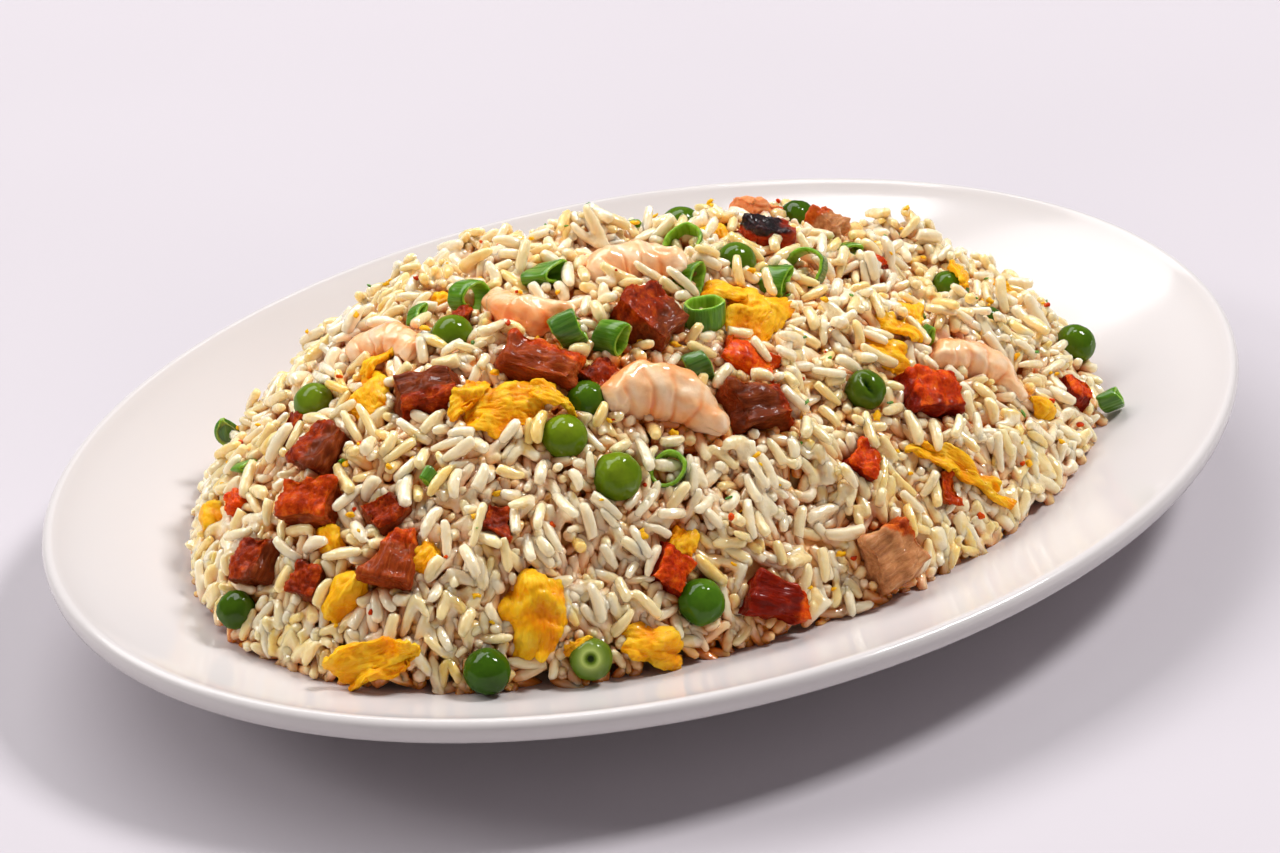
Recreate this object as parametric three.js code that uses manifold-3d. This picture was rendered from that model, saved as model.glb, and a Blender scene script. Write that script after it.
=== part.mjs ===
// A plate of fried rice: an oval porcelain platter, the heap of rice on it, and the
// toppings that lie in the top of the heap (peas, spring onion, roast pork, egg, prawns).
// Millimetres, +Z up, the long axis of the platter along X, its foot at Z = 0.
import * as THREE from "three";
import { mergeVertices } from "three/addons/utils/BufferGeometryUtils.js";
import Module from "manifold-3d";

const wasm = await Module();
wasm.setup();

// Platter
const LENGTH = 260;
const WIDTH = 183;
const HEIGHT = 24;
const WELL_HEIGHT = 7; // top of the flat middle
const WELL_RADIUS = 34; // of the flat middle, across the platter
const WALL = 4.3;
const SIDE_CURVE = 1.6; // power of the rise from the well to the rim
const RIM_BAND = 5.5; // outer strip that keeps the same width all the way round
const EDGE_RADIUS = 1.5;
const EDGE_HEIGHT = 4.4;
const FOOT_RADIUS = 50; // across the platter, outer side
const FOOT_WIDTH = 3.2;
const FOOT_RECESS = 2.5;
const PLATTER_SIDES = 52;

// Heap of rice
const HEAP_RADIUS = 68.5; // across the platter
const HEAP_LOBES = [
  [-0.034, -0.028],
  [0.041, 0],
  [0.008, -0.005],
  [-0.007, 0.021],
]; // cosine and sine part of one, two, three and four waves round the outline
const HEAP_HEIGHT = 40; // above its edge
const HEAP_CROWN = 2.2;
const HEAP_SHOULDER = 0.9;
const HEAP_LEAN_X = -0.3; // the end at -X is the higher one
const HEAP_LEAN_Y = 0.14;
const HEAP_DETAIL = 12;
const HEAP_FOLD = -0.8; // share of the skin that is the underside
const GRAIN_THICKNESS = 2.4;
const EDGE_THICKNESS = 1.2;
const GAP = 0.3;

// The half width and the half length, and how the middle is stretched along X
const HALF_WIDTH = WIDTH / 2;
const HALF_LENGTH = LENGTH / 2;
const BAND_START = HALF_WIDTH - RIM_BAND;
const STRETCH = (HALF_LENGTH - RIM_BAND) / BAND_START;

const part = new THREE.Group();

// Numbers from 0 to 1 that are the same on every run.
function seededRandom(seed) {
  let state = seed;
  return () => {
    state = (state + 0x6d2b79f5) | 0;
    let t = Math.imul(state ^ (state >>> 15), 1 | state);
    t = (t + Math.imul(t ^ (t >>> 7), 61 | t)) ^ t;
    return ((t ^ (t >>> 14)) >>> 0) / 4294967296;
  };
}

// The shape without its normals and texture coordinates, so that shared corners are one.
function bare(geometry) {
  geometry.deleteAttribute("normal");
  geometry.deleteAttribute("uv");
  return mergeVertices(geometry, 1e-3);
}

// Moves each corner of a shape to where move(x, y, z) says.
function reshape(geometry, move) {
  const position = geometry.getAttribute("position");
  for (let i = 0; i < position.count; i++) {
    const [x, y, z] = move(position.getX(i), position.getY(i), position.getZ(i));
    position.setXYZ(i, x, y, z);
  }
  return geometry;
}

function toSolid(geometry) {
  return new wasm.Manifold(
    new wasm.Mesh({
      numProp: 3,
      vertProperties: new Float32Array(geometry.getAttribute("position").array),
      triVerts: new Uint32Array(geometry.index.array),
    }),
  );
}

function toGeometry(solid) {
  const mesh = solid.getMesh();
  const geometry = new THREE.BufferGeometry();
  geometry.setAttribute("position", new THREE.BufferAttribute(mesh.vertProperties, 3));
  geometry.setIndex(new THREE.BufferAttribute(mesh.triVerts, 1));
  return geometry;
}

function finish(colour, roughness) {
  return new THREE.MeshStandardMaterial({ color: colour, roughness, metalness: 0 });
}

const PORCELAIN = finish(0xf3efe9, 0.15);
const RICE = finish(0xe9e0c8, 0.45);
const PEA = finish(0x2f7a1e, 0.3);
const SPRING_ONION = finish(0x4f9a2a, 0.35);
const PORK = finish(0x9c3a1c, 0.45);
const EGG = finish(0xf2b32e, 0.5);
const PRAWN = finish(0xf0bfa0, 0.3);

// ---- Platter ----

// Height of the platter's upper face, at a distance across the platter from its middle.
function sideHeight(across) {
  const rise = THREE.MathUtils.clamp(
    (across - WELL_RADIUS) / (HALF_WIDTH - WELL_RADIUS),
    0,
    1,
  );
  return WELL_HEIGHT + (HEIGHT - WELL_HEIGHT) * rise ** SIDE_CURVE;
}

function platterTop(x, y) {
  return sideHeight(Math.hypot(x / STRETCH, y));
}

// Half of a cut across the platter, from the middle of its underside round the rim to
// the middle of its upper face.
function platterProfile() {
  const profile = [];
  const add = (across, height) => profile.push(new THREE.Vector2(across, height));
  add(0, FOOT_RECESS);
  add(FOOT_RADIUS - FOOT_WIDTH - 1, FOOT_RECESS);
  add(FOOT_RADIUS - FOOT_WIDTH, 0);
  add(FOOT_RADIUS, 0);
  add(FOOT_RADIUS + 1, sideHeight(FOOT_RADIUS) - WALL);
  for (const across of [66, 82]) {
    add(across, sideHeight(across) - WALL);
  }
  add(HALF_WIDTH - 2, HEIGHT - EDGE_HEIGHT - 0.6);
  add(HALF_WIDTH - 0.4, HEIGHT - EDGE_HEIGHT + 0.4);
  for (const turn of [0, 45, 90]) {
    const angle = THREE.MathUtils.degToRad(turn);
    add(
      HALF_WIDTH - EDGE_RADIUS * (1 - Math.cos(angle)),
      HEIGHT - EDGE_RADIUS * (1 - Math.sin(angle)),
    );
  }
  for (const across of [86, 77, 67, 57, 48, 40, WELL_RADIUS]) {
    add(across, sideHeight(across));
  }
  add(0, WELL_HEIGHT);
  return profile;
}

// Turns the round dish into the oval one: the middle is stretched, the rim band is moved.
function toOval(x, y, z) {
  const across = Math.hypot(x, y);
  const along =
    across <= BAND_START ? STRETCH : 1 + (HALF_LENGTH - HALF_WIDTH) / across;
  return [x * along, y, z];
}

function buildPlatter() {
  const dish = new THREE.LatheGeometry(platterProfile(), PLATTER_SIDES);
  dish.rotateX(Math.PI / 2);
  const platter = new THREE.Mesh(reshape(bare(dish), toOval), PORCELAIN);
  platter.name = "platter";
  part.add(platter);
}

// ---- Form of the heap ----

// Distance across the platter from the middle to the heap's outline, in a direction.
function heapOutline(angle) {
  const wave = HEAP_LOBES.reduce(
    (sum, [cosine, sine], i) =>
      sum + cosine * Math.cos((i + 1) * angle) + sine * Math.sin((i + 1) * angle),
    1,
  );
  return HEAP_RADIUS * wave;
}

// Height of the heap's smooth form over a point of the platter.
function heapTop(x, y) {
  const u = x / STRETCH;
  const angle = Math.atan2(y, u);
  const outline = heapOutline(angle);
  const share = Math.hypot(u, y) / outline;
  if (share >= 1) return platterTop(x, y) + GAP;
  const edge = sideHeight(outline) + GAP + EDGE_THICKNESS;
  const dome = (1 - share ** HEAP_CROWN) ** HEAP_SHOULDER;
  const lean = 1 + HEAP_LEAN_X * (u / HEAP_RADIUS) + HEAP_LEAN_Y * (y / HEAP_RADIUS);
  return edge + HEAP_HEIGHT * dome * lean;
}

// The direction that the heap's form faces at a point.
function heapNormal(x, y) {
  const step = 3;
  const slopeX = (heapTop(x + step, y) - heapTop(x - step, y)) / (2 * step);
  const slopeY = (heapTop(x, y + step) - heapTop(x, y - step)) / (2 * step);
  return new THREE.Vector3(-slopeX, -slopeY, 1).normalize();
}

// A direction from its compass angle (from +X towards +Y) and its angle above level.
function facing(compass, above) {
  const flat = THREE.MathUtils.degToRad(compass);
  const up = THREE.MathUtils.degToRad(above);
  return new THREE.Vector3(
    Math.cos(up) * Math.cos(flat),
    Math.cos(up) * Math.sin(flat),
    Math.sin(up),
  );
}

// Sets a topping in the heap at x, y. Its own Z axis faces axis, or out of the heap;
// turn is its turn about that axis, and lift is how far its middle stands proud. The
// hollow is a plainer form round it, which the heap leaves free. A small topping is
// fused to the heap and has no hollow.
const UP = new THREE.Vector3(0, 0, 1);
const counts = {};
const hollows = [];
const smallToppings = [];

function set(kind, shape, hollow, material, x, y, pose) {
  const { lift = 0, turn = 0, axis = heapNormal(x, y), small = false } = pose;
  const topping = new THREE.Mesh(shape, material);
  topping.quaternion.setFromUnitVectors(UP, axis);
  topping.rotateZ(THREE.MathUtils.degToRad(turn));
  topping.position.set(x, y, heapTop(x, y)).addScaledVector(heapNormal(x, y), lift);
  topping.updateMatrix();
  if (small) {
    smallToppings.push(shape.applyMatrix4(topping.matrix));
    return;
  }
  hollows.push(hollow.applyMatrix4(topping.matrix));
  counts[kind] = (counts[kind] ?? 0) + 1;
  topping.name = kind + "_" + String(counts[kind]).padStart(2, "0");
  part.add(topping);
}

// ---- Peas ----

function addPea(x, y, diameter, lift = 1.2, pose = {}) {
  const ball = pose.small
    ? bare(new THREE.SphereGeometry(diameter / 2, 6, 5))
    : bare(new THREE.IcosahedronGeometry(diameter / 2, 1));
  const hollow = bare(new THREE.IcosahedronGeometry(diameter / 1.6 + GAP, 0));
  set("pea", ball, hollow, PEA, x, y, { lift, turn: 40 * x, ...pose });
}

addPea(-72, 13, 7.8);
addPea(-49, 1, 8.2);
addPea(-46, -30, 8.4);
addPea(-41, -39, 9, 1.8);
addPea(13, -4, 8, 1.8);
addPea(22, 25, 8.6, 1.4);
addPea(48, 20, 8, 2.2);
addPea(17, -39, 8, 1.6);
addPea(62, -12, 8);
addPea(86, -24, 8.4, 2.2);
addPea(-36, -58, 8.6);
addPea(-59, -56, 7.8, 1.6);
addPea(-76, -49, 8.4, 1.8);
addPea(-12, 60, 8.4);
addPea(55, 48, 7.8, 1.6);
addPea(36, 55, 8.2);
addPea(-38, -26, 7.4, 0.6, { small: true });
addPea(64, -22, 6.8, 1, { small: true });
addPea(-103, -9, 7.2, 1, { small: true });
addPea(20, 58, 7.4, 3, { small: true });

// ---- Prawns ----

// A peeled prawn: a body that tapers to the tail, drawn in at its segments and curled
// in the plane of its own X and Y.
function prawnBody(length, thickness, curl, sides, rings, swell) {
  const segments = 6;
  const taper = 0.42;
  const bend = THREE.MathUtils.degToRad(curl);
  const arc = length / bend;
  const body = bare(new THREE.SphereGeometry(1, sides, rings));
  return reshape(body, (px, py, pz) => {
    const along = Math.acos(THREE.MathUtils.clamp(py, -1, 1)) / Math.PI;
    const ring = Math.hypot(px, pz);
    const drawn = 1 - 0.07 * Math.cos(2 * Math.PI * segments * along);
    const reach = ring ** 0.55 * (1 - taper * along) * drawn * (thickness / 2 + swell);
    const side = ring > 0 ? (px / ring) * reach : 0;
    const up = ring > 0 ? (pz / ring) * reach : 0;
    const angle = (bend + (2 * swell) / arc) * (0.5 - along);
    return [(arc + side) * Math.cos(angle) - arc, (arc + side) * Math.sin(angle), up];
  });
}

function addPrawn(x, y, length, thickness, curl, pose) {
  const body = prawnBody(length, thickness, curl, 8, 10, 0);
  const hollow = prawnBody(length, thickness, curl, 7, 6, 1.9);
  set("prawn", body, hollow, PRAWN, x, y, pose);
}

addPrawn(-24, -30, 27, 12, 120, { lift: 2.6, turn: 55 });
addPrawn(-38, -4, 23, 9.5, 150, { lift: 1.6, turn: 200 });
addPrawn(-56, 10, 20, 9, 140, { lift: 1.6, turn: 20 });
addPrawn(-9, -1, 23, 9.5, 110, { lift: 1.2, turn: 70 });
addPrawn(49, -35, 24, 9.5, 90, { lift: 1.2, turn: 60 });
addPrawn(19, 52, 23, 9, 130, { lift: 0.8, turn: 170 });

// ---- Roast pork ----

// A dice of roast pork, cut by hand: no two sides are parallel, its corners are blunt,
// and one end may be narrower than the other.
function addPork(x, y, length, width, height, pose) {
  const random = seededRandom(100 * length + 10 * width + x);
  const { narrow = 0.85, small = false } = pose;
  const cuts = small ? 1 : 2;
  const dice = bare(new THREE.BoxGeometry(length, width, height, cuts, cuts, cuts));
  const corner = Math.hypot(length, width, height) / 2;
  const unevenness = 0.16 * Math.min(length, width, height);
  reshape(dice, (px, py, pz) => {
    const squeeze = 1 - (1 - narrow) * (px / length + 0.5);
    const blunt = Math.hypot(px, py, pz) > 0.95 * corner ? 0.88 : 1;
    const uneven = () => (random() - 0.5) * unevenness;
    return [
      px * blunt + uneven(),
      py * blunt * squeeze + uneven(),
      pz * blunt * squeeze + uneven(),
    ];
  });
  const spare = unevenness + 2 * GAP;
  const hollow = bare(new THREE.BoxGeometry(length + spare, width + spare, height + spare));
  set("pork", dice, hollow, PORK, x, y, pose);
}

addPork(-61, -9, 12, 8.5, 6, { lift: 1.4, turn: -30 });
addPork(-42, -17, 14, 8, 5, { lift: 2.2, turn: -48 });
addPork(-17, -16, 13, 11.5, 10, { lift: 2.2, turn: 20, narrow: 0.7 });
addPork(38, 20, 12, 8, 7, { lift: 2.4, turn: 10, narrow: 0.6 });
addPork(27, 4, 11, 8, 6, { lift: 1.4, turn: -20 });
addPork(-3, -28, 13, 7, 5, { lift: 1.4, turn: -50, narrow: 0.7 });
addPork(-7, -37, 12, 9, 7.5, { lift: 1.6, turn: -10 });
addPork(31, -42, 12, 11, 9, { lift: 1.6, turn: -20, narrow: 0.75 });
addPork(-79, -2, 9.5, 8.5, 7, { lift: 1.6, turn: 15 });
addPork(-86, -10, 10, 8, 6.5, { lift: 1.8, turn: -60 });
addPork(-97, -7, 8.5, 7, 6, { lift: 1.2, turn: 20 });
addPork(-81, -29, 11, 9, 8, { lift: 0.8, turn: 35, narrow: 0.5 });
addPork(-22, -62, 11, 9, 6, { lift: 1.6, turn: -35, narrow: 0.5 });
addPork(4, -63, 10, 10, 8, { lift: 1.6, turn: 10 });
addPork(44, 46, 10, 8, 7, { lift: 1, turn: 60 });
addPork(66, 42, 10, 8, 7, { lift: 1, turn: 120, narrow: 0.6 });
addPork(44, 7, 8, 7, 6.5, { lift: 2.4, turn: 30, small: true });
addPork(-39, -53, 7.5, 7, 6, { lift: 0.8, turn: 40, small: true });
addPork(-79, -22, 7, 6, 5, { lift: 0.8, turn: 0, small: true });
addPork(8, -50, 7, 6, 5, { lift: 1, turn: 30, small: true });
addPork(73, -39, 7, 6, 5, { lift: 1, turn: 70, small: true });
addPork(-78, 12, 6, 5, 4, { lift: 0.8, turn: 10, small: true });
addPork(76, 22, 7, 6, 5, { lift: 1, turn: 50, small: true });

// ---- Egg ----

// A torn flake of scrambled egg: a thick sheet in soft folds with an uneven outline.
function addEgg(x, y, length, width, thickness, fold, pose) {
  const random = seededRandom(100 * length + 10 * width + x);
  const phase = random() * Math.PI * 2;
  const cells = pose.small ? [2, 1] : [4, 3];
  const flake = bare(new THREE.BoxGeometry(length, width, thickness, ...cells, 1));
  reshape(flake, (px, py, pz) => {
    const u = (2 * px) / length;
    const v = (2 * py) / width;
    const round = 1 - 0.2 * u * u * v * v;
    const tear = round * (1 + (random() - 0.5) * 0.14);
    const thin = 1 - 0.45 * Math.max(u * u, v * v);
    const wave = Math.sin(2.6 * u + phase) * Math.cos(2.2 * v - phase);
    const crumple = 0.4 * (random() - 0.5);
    return [px * tear, py * tear, pz * thin + fold * (wave + crumple)];
  });
  const depth = thickness + 1.2 * fold;
  const hollow = bare(new THREE.BoxGeometry(length + 1.5, width + 1.5, depth + 2 * GAP));
  set("egg", flake, hollow, EGG, x, y, pose);
}

addEgg(-67, 2, 12, 8, 3.6, 1.2, { lift: 1, turn: 60 });
addEgg(-52, -21, 15, 9.5, 4.4, 1.6, { lift: 1, turn: -30 });
addEgg(6, -19, 14, 11, 6, 1.6, { lift: 0.8, turn: 30 });
addEgg(28, -32, 12, 7, 4, 1.2, { lift: 0.8, turn: -30 });
addEgg(-65, -48, 15, 10, 6, 1.6, { lift: 1.4, turn: 60 });
addEgg(-91, -37, 15, 7, 4, 1.4, { lift: 1.4, turn: -20 });
addEgg(-47, -59, 10, 7, 4, 1, { lift: 1, turn: -30 });
addEgg(28, -55, 22, 5, 3.2, 1.2, { lift: 1.2, turn: -40 });
addEgg(2, 55, 13, 8, 4.4, 1.4, { lift: 0.8, turn: 20 });
addEgg(-91, -26, 9, 6, 3.6, 1, { lift: 0.8, turn: 10, small: true });
addEgg(-93, 17, 7, 5, 3, 0.6, { lift: 0.8, turn: 40, small: true });
addEgg(83, -5, 8, 5, 3, 0.6, { lift: 0.8, turn: 0, small: true });
addEgg(53, 5, 7, 5, 3, 0.6, { lift: 0.8, turn: 30, small: true });
addEgg(41, -23, 8, 4, 3, 0.6, { lift: 0.8, turn: 60, small: true });
addEgg(59, -44, 6, 5, 3, 0.6, { lift: 0.8, turn: 20, small: true });
addEgg(20, 12, 7, 5, 3, 0.6, { lift: 0.8, turn: 80, small: true });
addEgg(-30, 58, 8, 6, 3, 0.6, { lift: 0.8, turn: 15, small: true });
addEgg(62, 20, 8, 5, 3, 0.6, { lift: 0.8, turn: 120, small: true });

// ---- Spring onion ----

// A slice of spring onion leaf: a thin ring as long as the slice is wide, pressed oval.
// Its own Z axis is the axis of the leaf.
function addOnion(x, y, diameter, slice, press, pose) {
  const wall = 1.3;
  const outer = diameter / 2;
  const half = slice / 2;
  const profile = [
    new THREE.Vector2(outer - wall, -half),
    new THREE.Vector2(outer, -half),
    new THREE.Vector2(outer, half),
    new THREE.Vector2(outer - wall, half),
    new THREE.Vector2(outer - wall, -half),
  ];
  const slant = 0.12;
  const shape = (solid) =>
    reshape(bare(solid.rotateX(Math.PI / 2)), (px, py, pz) => [px, py * press, pz + slant * px]);
  const ring = shape(new THREE.LatheGeometry(profile, pose.small ? 8 : 10));
  const room = outer * 1.08 + GAP;
  const hollow = shape(new THREE.CylinderGeometry(room, room, slice + 2 * GAP, 8));
  set("onion", ring, hollow, SPRING_ONION, x, y, pose);
}

addOnion(-25, 5, 8.4, 6, 0.5, { lift: 2.2, axis: facing(-60, 20), turn: 20 });
addOnion(-40, 8, 8, 4.5, 0.85, { lift: 2.4, axis: facing(-70, 15) });
addOnion(6, 21, 8.4, 4.5, 0.55, { lift: 1.6, axis: facing(-40, 20), turn: 10 });
addOnion(9, 7, 8.6, 3.6, 0.85, { lift: 1.6, axis: facing(-140, 62) });
addOnion(-1, -7, 7.6, 5, 0.6, { lift: 1.6, axis: facing(-60, 30), turn: 60 });
addOnion(-5, -17, 8.4, 5, 0.85, { lift: 2.4, axis: facing(54, 76), turn: 20 });
addOnion(-28, -18, 6.4, 7, 0.5, { lift: 3.2, axis: facing(-80, 10), turn: 70 });
addOnion(-34, -14, 8, 5, 0.7, { lift: 3.4, axis: facing(-20, 20) });
addOnion(16, -12, 7.6, 6, 0.5, { lift: 1.8, axis: facing(-60, 10), turn: 60 });
addOnion(26, -9, 9.2, 4, 0.85, { lift: 1.8, axis: facing(-150, 40) });
addOnion(80, -41, 6.4, 4.5, 0.6, { lift: 3.8, axis: facing(-30, 20) });
addOnion(41, -2, 9, 4.5, 0.4, { lift: 1, axis: facing(-100, 20), small: true });
addOnion(-14, -27, 7, 5, 0.7, { lift: 1.4, axis: facing(-10, 10), small: true });
addOnion(-31, -41, 7, 3, 0.9, { lift: 1, axis: facing(-126, 45), small: true });
addOnion(-75, 40, 6.4, 4, 0.6, { lift: 1.6, axis: facing(-100, 30), small: true });
addOnion(58, 34, 7, 4, 0.7, { lift: 1, axis: facing(60, 50), small: true });
addOnion(6, 44, 7.4, 4.5, 0.8, { lift: 0.6, axis: facing(70, 60), small: true });

buildPlatter();

// ---- The heap itself ----

// The skin of the heap as one closed surface: a ball's upper part is spread over the
// top, and the rest of it is folded under. The top has bumps as thick as a grain.
function heapSkin() {
  const random = seededRandom(7);
  const ball = bare(new THREE.IcosahedronGeometry(1, HEAP_DETAIL));
  return reshape(ball, (px, py, pz) => {
    const angle = Math.atan2(py, px);
    const onTop = pz >= HEAP_FOLD;
    const share = Math.sqrt(onTop ? (1 - pz) / (1 - HEAP_FOLD) : (1 + pz) / (1 + HEAP_FOLD));
    const reach = heapOutline(angle) * Math.min(share, 0.999);
    const x = STRETCH * reach * Math.cos(angle);
    const y = reach * Math.sin(angle);
    if (!onTop) return [x, y, platterTop(x, y) + GAP];
    const bump = (random() - 0.5) * 1.2 * GRAIN_THICKNESS;
    const least = platterTop(x, y) + GAP + EDGE_THICKNESS;
    return [x, y, Math.max(heapTop(x, y) + bump, least)];
  });
}

function largestBody(solid) {
  const bodies = solid.decompose();
  bodies.sort((a, b) => b.volume() - a.volume());
  return bodies[0];
}

function buildHeap() {
  let heap = toSolid(heapSkin());
  for (const topping of smallToppings) heap = heap.add(toSolid(topping));
  for (const hollow of hollows) heap = heap.subtract(toSolid(hollow));
  const rice = new THREE.Mesh(toGeometry(largestBody(heap)), RICE);
  rice.name = "rice";
  part.add(rice);
}

buildHeap();

export default part;
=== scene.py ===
import math
import random
from itertools import product

import bpy
import numpy as np
from mathutils import Matrix, Quaternion, Vector, noise as mathutils_noise
from mathutils.bvhtree import BVHTree
from mathutils.kdtree import KDTree


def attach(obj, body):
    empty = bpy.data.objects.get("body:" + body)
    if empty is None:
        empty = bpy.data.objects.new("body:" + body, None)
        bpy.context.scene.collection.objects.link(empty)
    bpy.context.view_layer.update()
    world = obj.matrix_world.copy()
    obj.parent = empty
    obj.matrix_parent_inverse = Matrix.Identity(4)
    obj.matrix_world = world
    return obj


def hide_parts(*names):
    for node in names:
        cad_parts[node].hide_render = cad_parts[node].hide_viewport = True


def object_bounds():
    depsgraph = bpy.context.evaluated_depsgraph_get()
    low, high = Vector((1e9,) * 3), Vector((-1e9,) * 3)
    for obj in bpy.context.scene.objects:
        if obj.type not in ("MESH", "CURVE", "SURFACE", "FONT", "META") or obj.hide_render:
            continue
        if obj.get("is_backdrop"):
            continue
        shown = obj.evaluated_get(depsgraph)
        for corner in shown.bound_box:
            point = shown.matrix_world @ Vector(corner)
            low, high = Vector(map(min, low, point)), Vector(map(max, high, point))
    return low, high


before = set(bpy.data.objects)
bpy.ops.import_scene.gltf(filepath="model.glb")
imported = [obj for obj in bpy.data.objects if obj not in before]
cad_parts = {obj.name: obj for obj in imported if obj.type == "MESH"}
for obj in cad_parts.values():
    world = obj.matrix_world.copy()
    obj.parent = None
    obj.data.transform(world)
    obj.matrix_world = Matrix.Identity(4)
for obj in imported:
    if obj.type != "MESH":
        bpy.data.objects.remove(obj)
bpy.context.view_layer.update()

# ---- Platter ----
# An oval dish of white porcelain with a clear glossy glaze, cast in a mould, so its wall
# is even. It stands on a foot ring, where the glaze is wiped off before firing.

MM = 0.001
HALF_LENGTH = 130
HALF_WIDTH = 91.5
HEIGHT = 24
WELL_HEIGHT = 7
WELL_RADIUS = 34
WALL = 4.3
SIDE_CURVE = 1.6
RIM_BAND = 5.5
EDGE_RADIUS = 1.5
EDGE_HEIGHT = 4.4
LIP_START = 74
LIP_LIFT = 0.86
FOOT_RADIUS = 50
FOOT_WIDTH = 3.2
FOOT_RECESS = 2.5
BARE_HEIGHT = 0.2
PLATTER_STEPS = 144
BAND_START = HALF_WIDTH - RIM_BAND
STRETCH = (HALF_LENGTH - RIM_BAND) / BAND_START


def side_height(across):
    rise = np.clip((across - WELL_RADIUS) / (HALF_WIDTH - WELL_RADIUS), 0, 1)
    return WELL_HEIGHT + (HEIGHT - WELL_HEIGHT) * rise**SIDE_CURVE


def platter_top(x, y):
    return side_height(np.hypot(x / STRETCH, y))


def platter_profile():
    """Half of a cut across the dish, from the middle below, round the rim, to the middle on top."""
    inner = FOOT_RADIUS - FOOT_WIDTH
    under = HEIGHT - EDGE_HEIGHT
    points = [(0, FOOT_RECESS), (inner - 1.4, FOOT_RECESS), (inner - 0.4, 1.2), (inner + 0.2, 0.25)]
    points += [(inner + 0.8, 0), (FOOT_RADIUS - 0.8, 0), (FOOT_RADIUS - 0.2, 0.3), (FOOT_RADIUS + 0.3, 1.4)]
    for across in (51.5, 54, 58, 63, 69, 75, 80, 84, 87):
        points.append((across, side_height(across) - WALL))
    points += [(HALF_WIDTH - 2, under - 0.6), (HALF_WIDTH - 1, under - 0.1)]
    points += [(HALF_WIDTH - 0.4, under + 0.6), (HALF_WIDTH - 0.1, HEIGHT - 2.6)]
    for turn in (0, 15, 30, 45, 60, 75, 90, 103, 115):
        out, up = math.cos(math.radians(turn)), math.sin(math.radians(turn))
        points.append((HALF_WIDTH - EDGE_RADIUS * (1 - out), HEIGHT - EDGE_RADIUS * (1 - up)))
    for across in (88.2, 86.5, 84.5, 82, 79, 76, 72, 68, 64, 60, 56, 52, 48, 44, 41, 38, 36, 34, 30, 22):
        lip = LIP_LIFT * (max(across - LIP_START, 0) / (HALF_WIDTH - 2.1 - LIP_START)) ** 2
        points.append((across, side_height(across) + lip))
    return points + [(0, WELL_HEIGHT)]


def linear(red, green, blue):
    """A colour as a swatch names it, 0 to 255, in the shader's own scale."""
    scale = [c / 255 for c in (red, green, blue)]
    return tuple(c / 12.92 if c <= 0.04045 else ((c + 0.055) / 1.055) ** 2.4 for c in scale) + (1,)


def node(material, kind, sockets, **settings):
    """A shader node: each socket takes a value or the output of another node."""
    made = material.node_tree.nodes.new(kind)
    for name, value in settings.items():
        setattr(made, name, value)
    for name, value in sockets.items():
        if isinstance(value, bpy.types.NodeSocket):
            material.node_tree.links.new(value, made.inputs[name])
        else:
            made.inputs[name].default_value = value
    return made


def ramp(material, factor, *stops):
    """Colours along a factor: each stop is its position with a swatch colour or an amount of grey."""
    made = node(material, "ShaderNodeValToRGB", {"Fac": factor})
    elements = made.color_ramp.elements
    while len(elements) < len(stops):
        elements.new(0.5)
    for element, (position, *colour) in zip(elements, stops):
        element.position = position
        element.color = linear(*colour) if len(colour) == 3 else (*colour * 3, 1)
    return made.outputs["Color"]


def noise(material, where, scale, detail=3, roughness=0.5, distortion=0):
    sockets = {"Vector": where, "Scale": scale, "Detail": detail}
    sockets |= {"Roughness": roughness, "Distortion": distortion}
    return node(material, "ShaderNodeTexNoise", sockets).outputs["Fac"]


def bump(material, height, depth, strength=1.0):
    sockets = {"Height": height, "Distance": depth, "Strength": strength}
    return node(material, "ShaderNodeBump", sockets).outputs["Normal"]


def places(material):
    return node(material, "ShaderNodeTexCoord", {}).outputs["Object"]


def feed(material, **sockets):
    """Gives the material's shader its values and what varies over the surface."""
    shader = material.node_tree.nodes["Principled BSDF"]
    for name, value in sockets.items():
        socket = shader.inputs[name.replace("_", " ")]
        if isinstance(value, bpy.types.NodeSocket):
            material.node_tree.links.new(value, socket)
        else:
            socket.default_value = value


def new_material(name, **sockets):
    """A material with the values that are the same all over."""
    material = bpy.data.materials.new(name)
    material.use_nodes = True
    feed(material, **sockets)
    return material


def add(primitive, name, **place):
    """A new primitive, alone in the selection."""
    bpy.ops.object.select_all(action="DESELECT")
    primitive(**place)
    piece = bpy.context.active_object
    piece.name = name
    return piece


glaze = new_material("white_glaze", Roughness=0.12, IOR=1.5, Specular_IOR_Level=0.3)
at = places(glaze)
feed(
    glaze,
    Base_Color=ramp(glaze, noise(glaze, at, 9, 2), (0.3, 204, 199, 198), (0.7, 209, 204, 203)),
    Roughness=ramp(glaze, noise(glaze, at, 60, 4), (0.3, 0.10), (0.8, 0.17)),
    Normal=bump(glaze, noise(glaze, at, 28, 1), 0.0006, 0.5),
)
bare_clay = new_material("unglazed_foot", Roughness=0.75)
at = places(bare_clay)
feed(
    bare_clay,
    Base_Color=ramp(bare_clay, noise(bare_clay, at, 900, 4), (0.3, 226, 218, 206), (0.7, 236, 230, 220)),
    Normal=bump(bare_clay, noise(bare_clay, at, 2500, 3), 0.0001),
)

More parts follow.
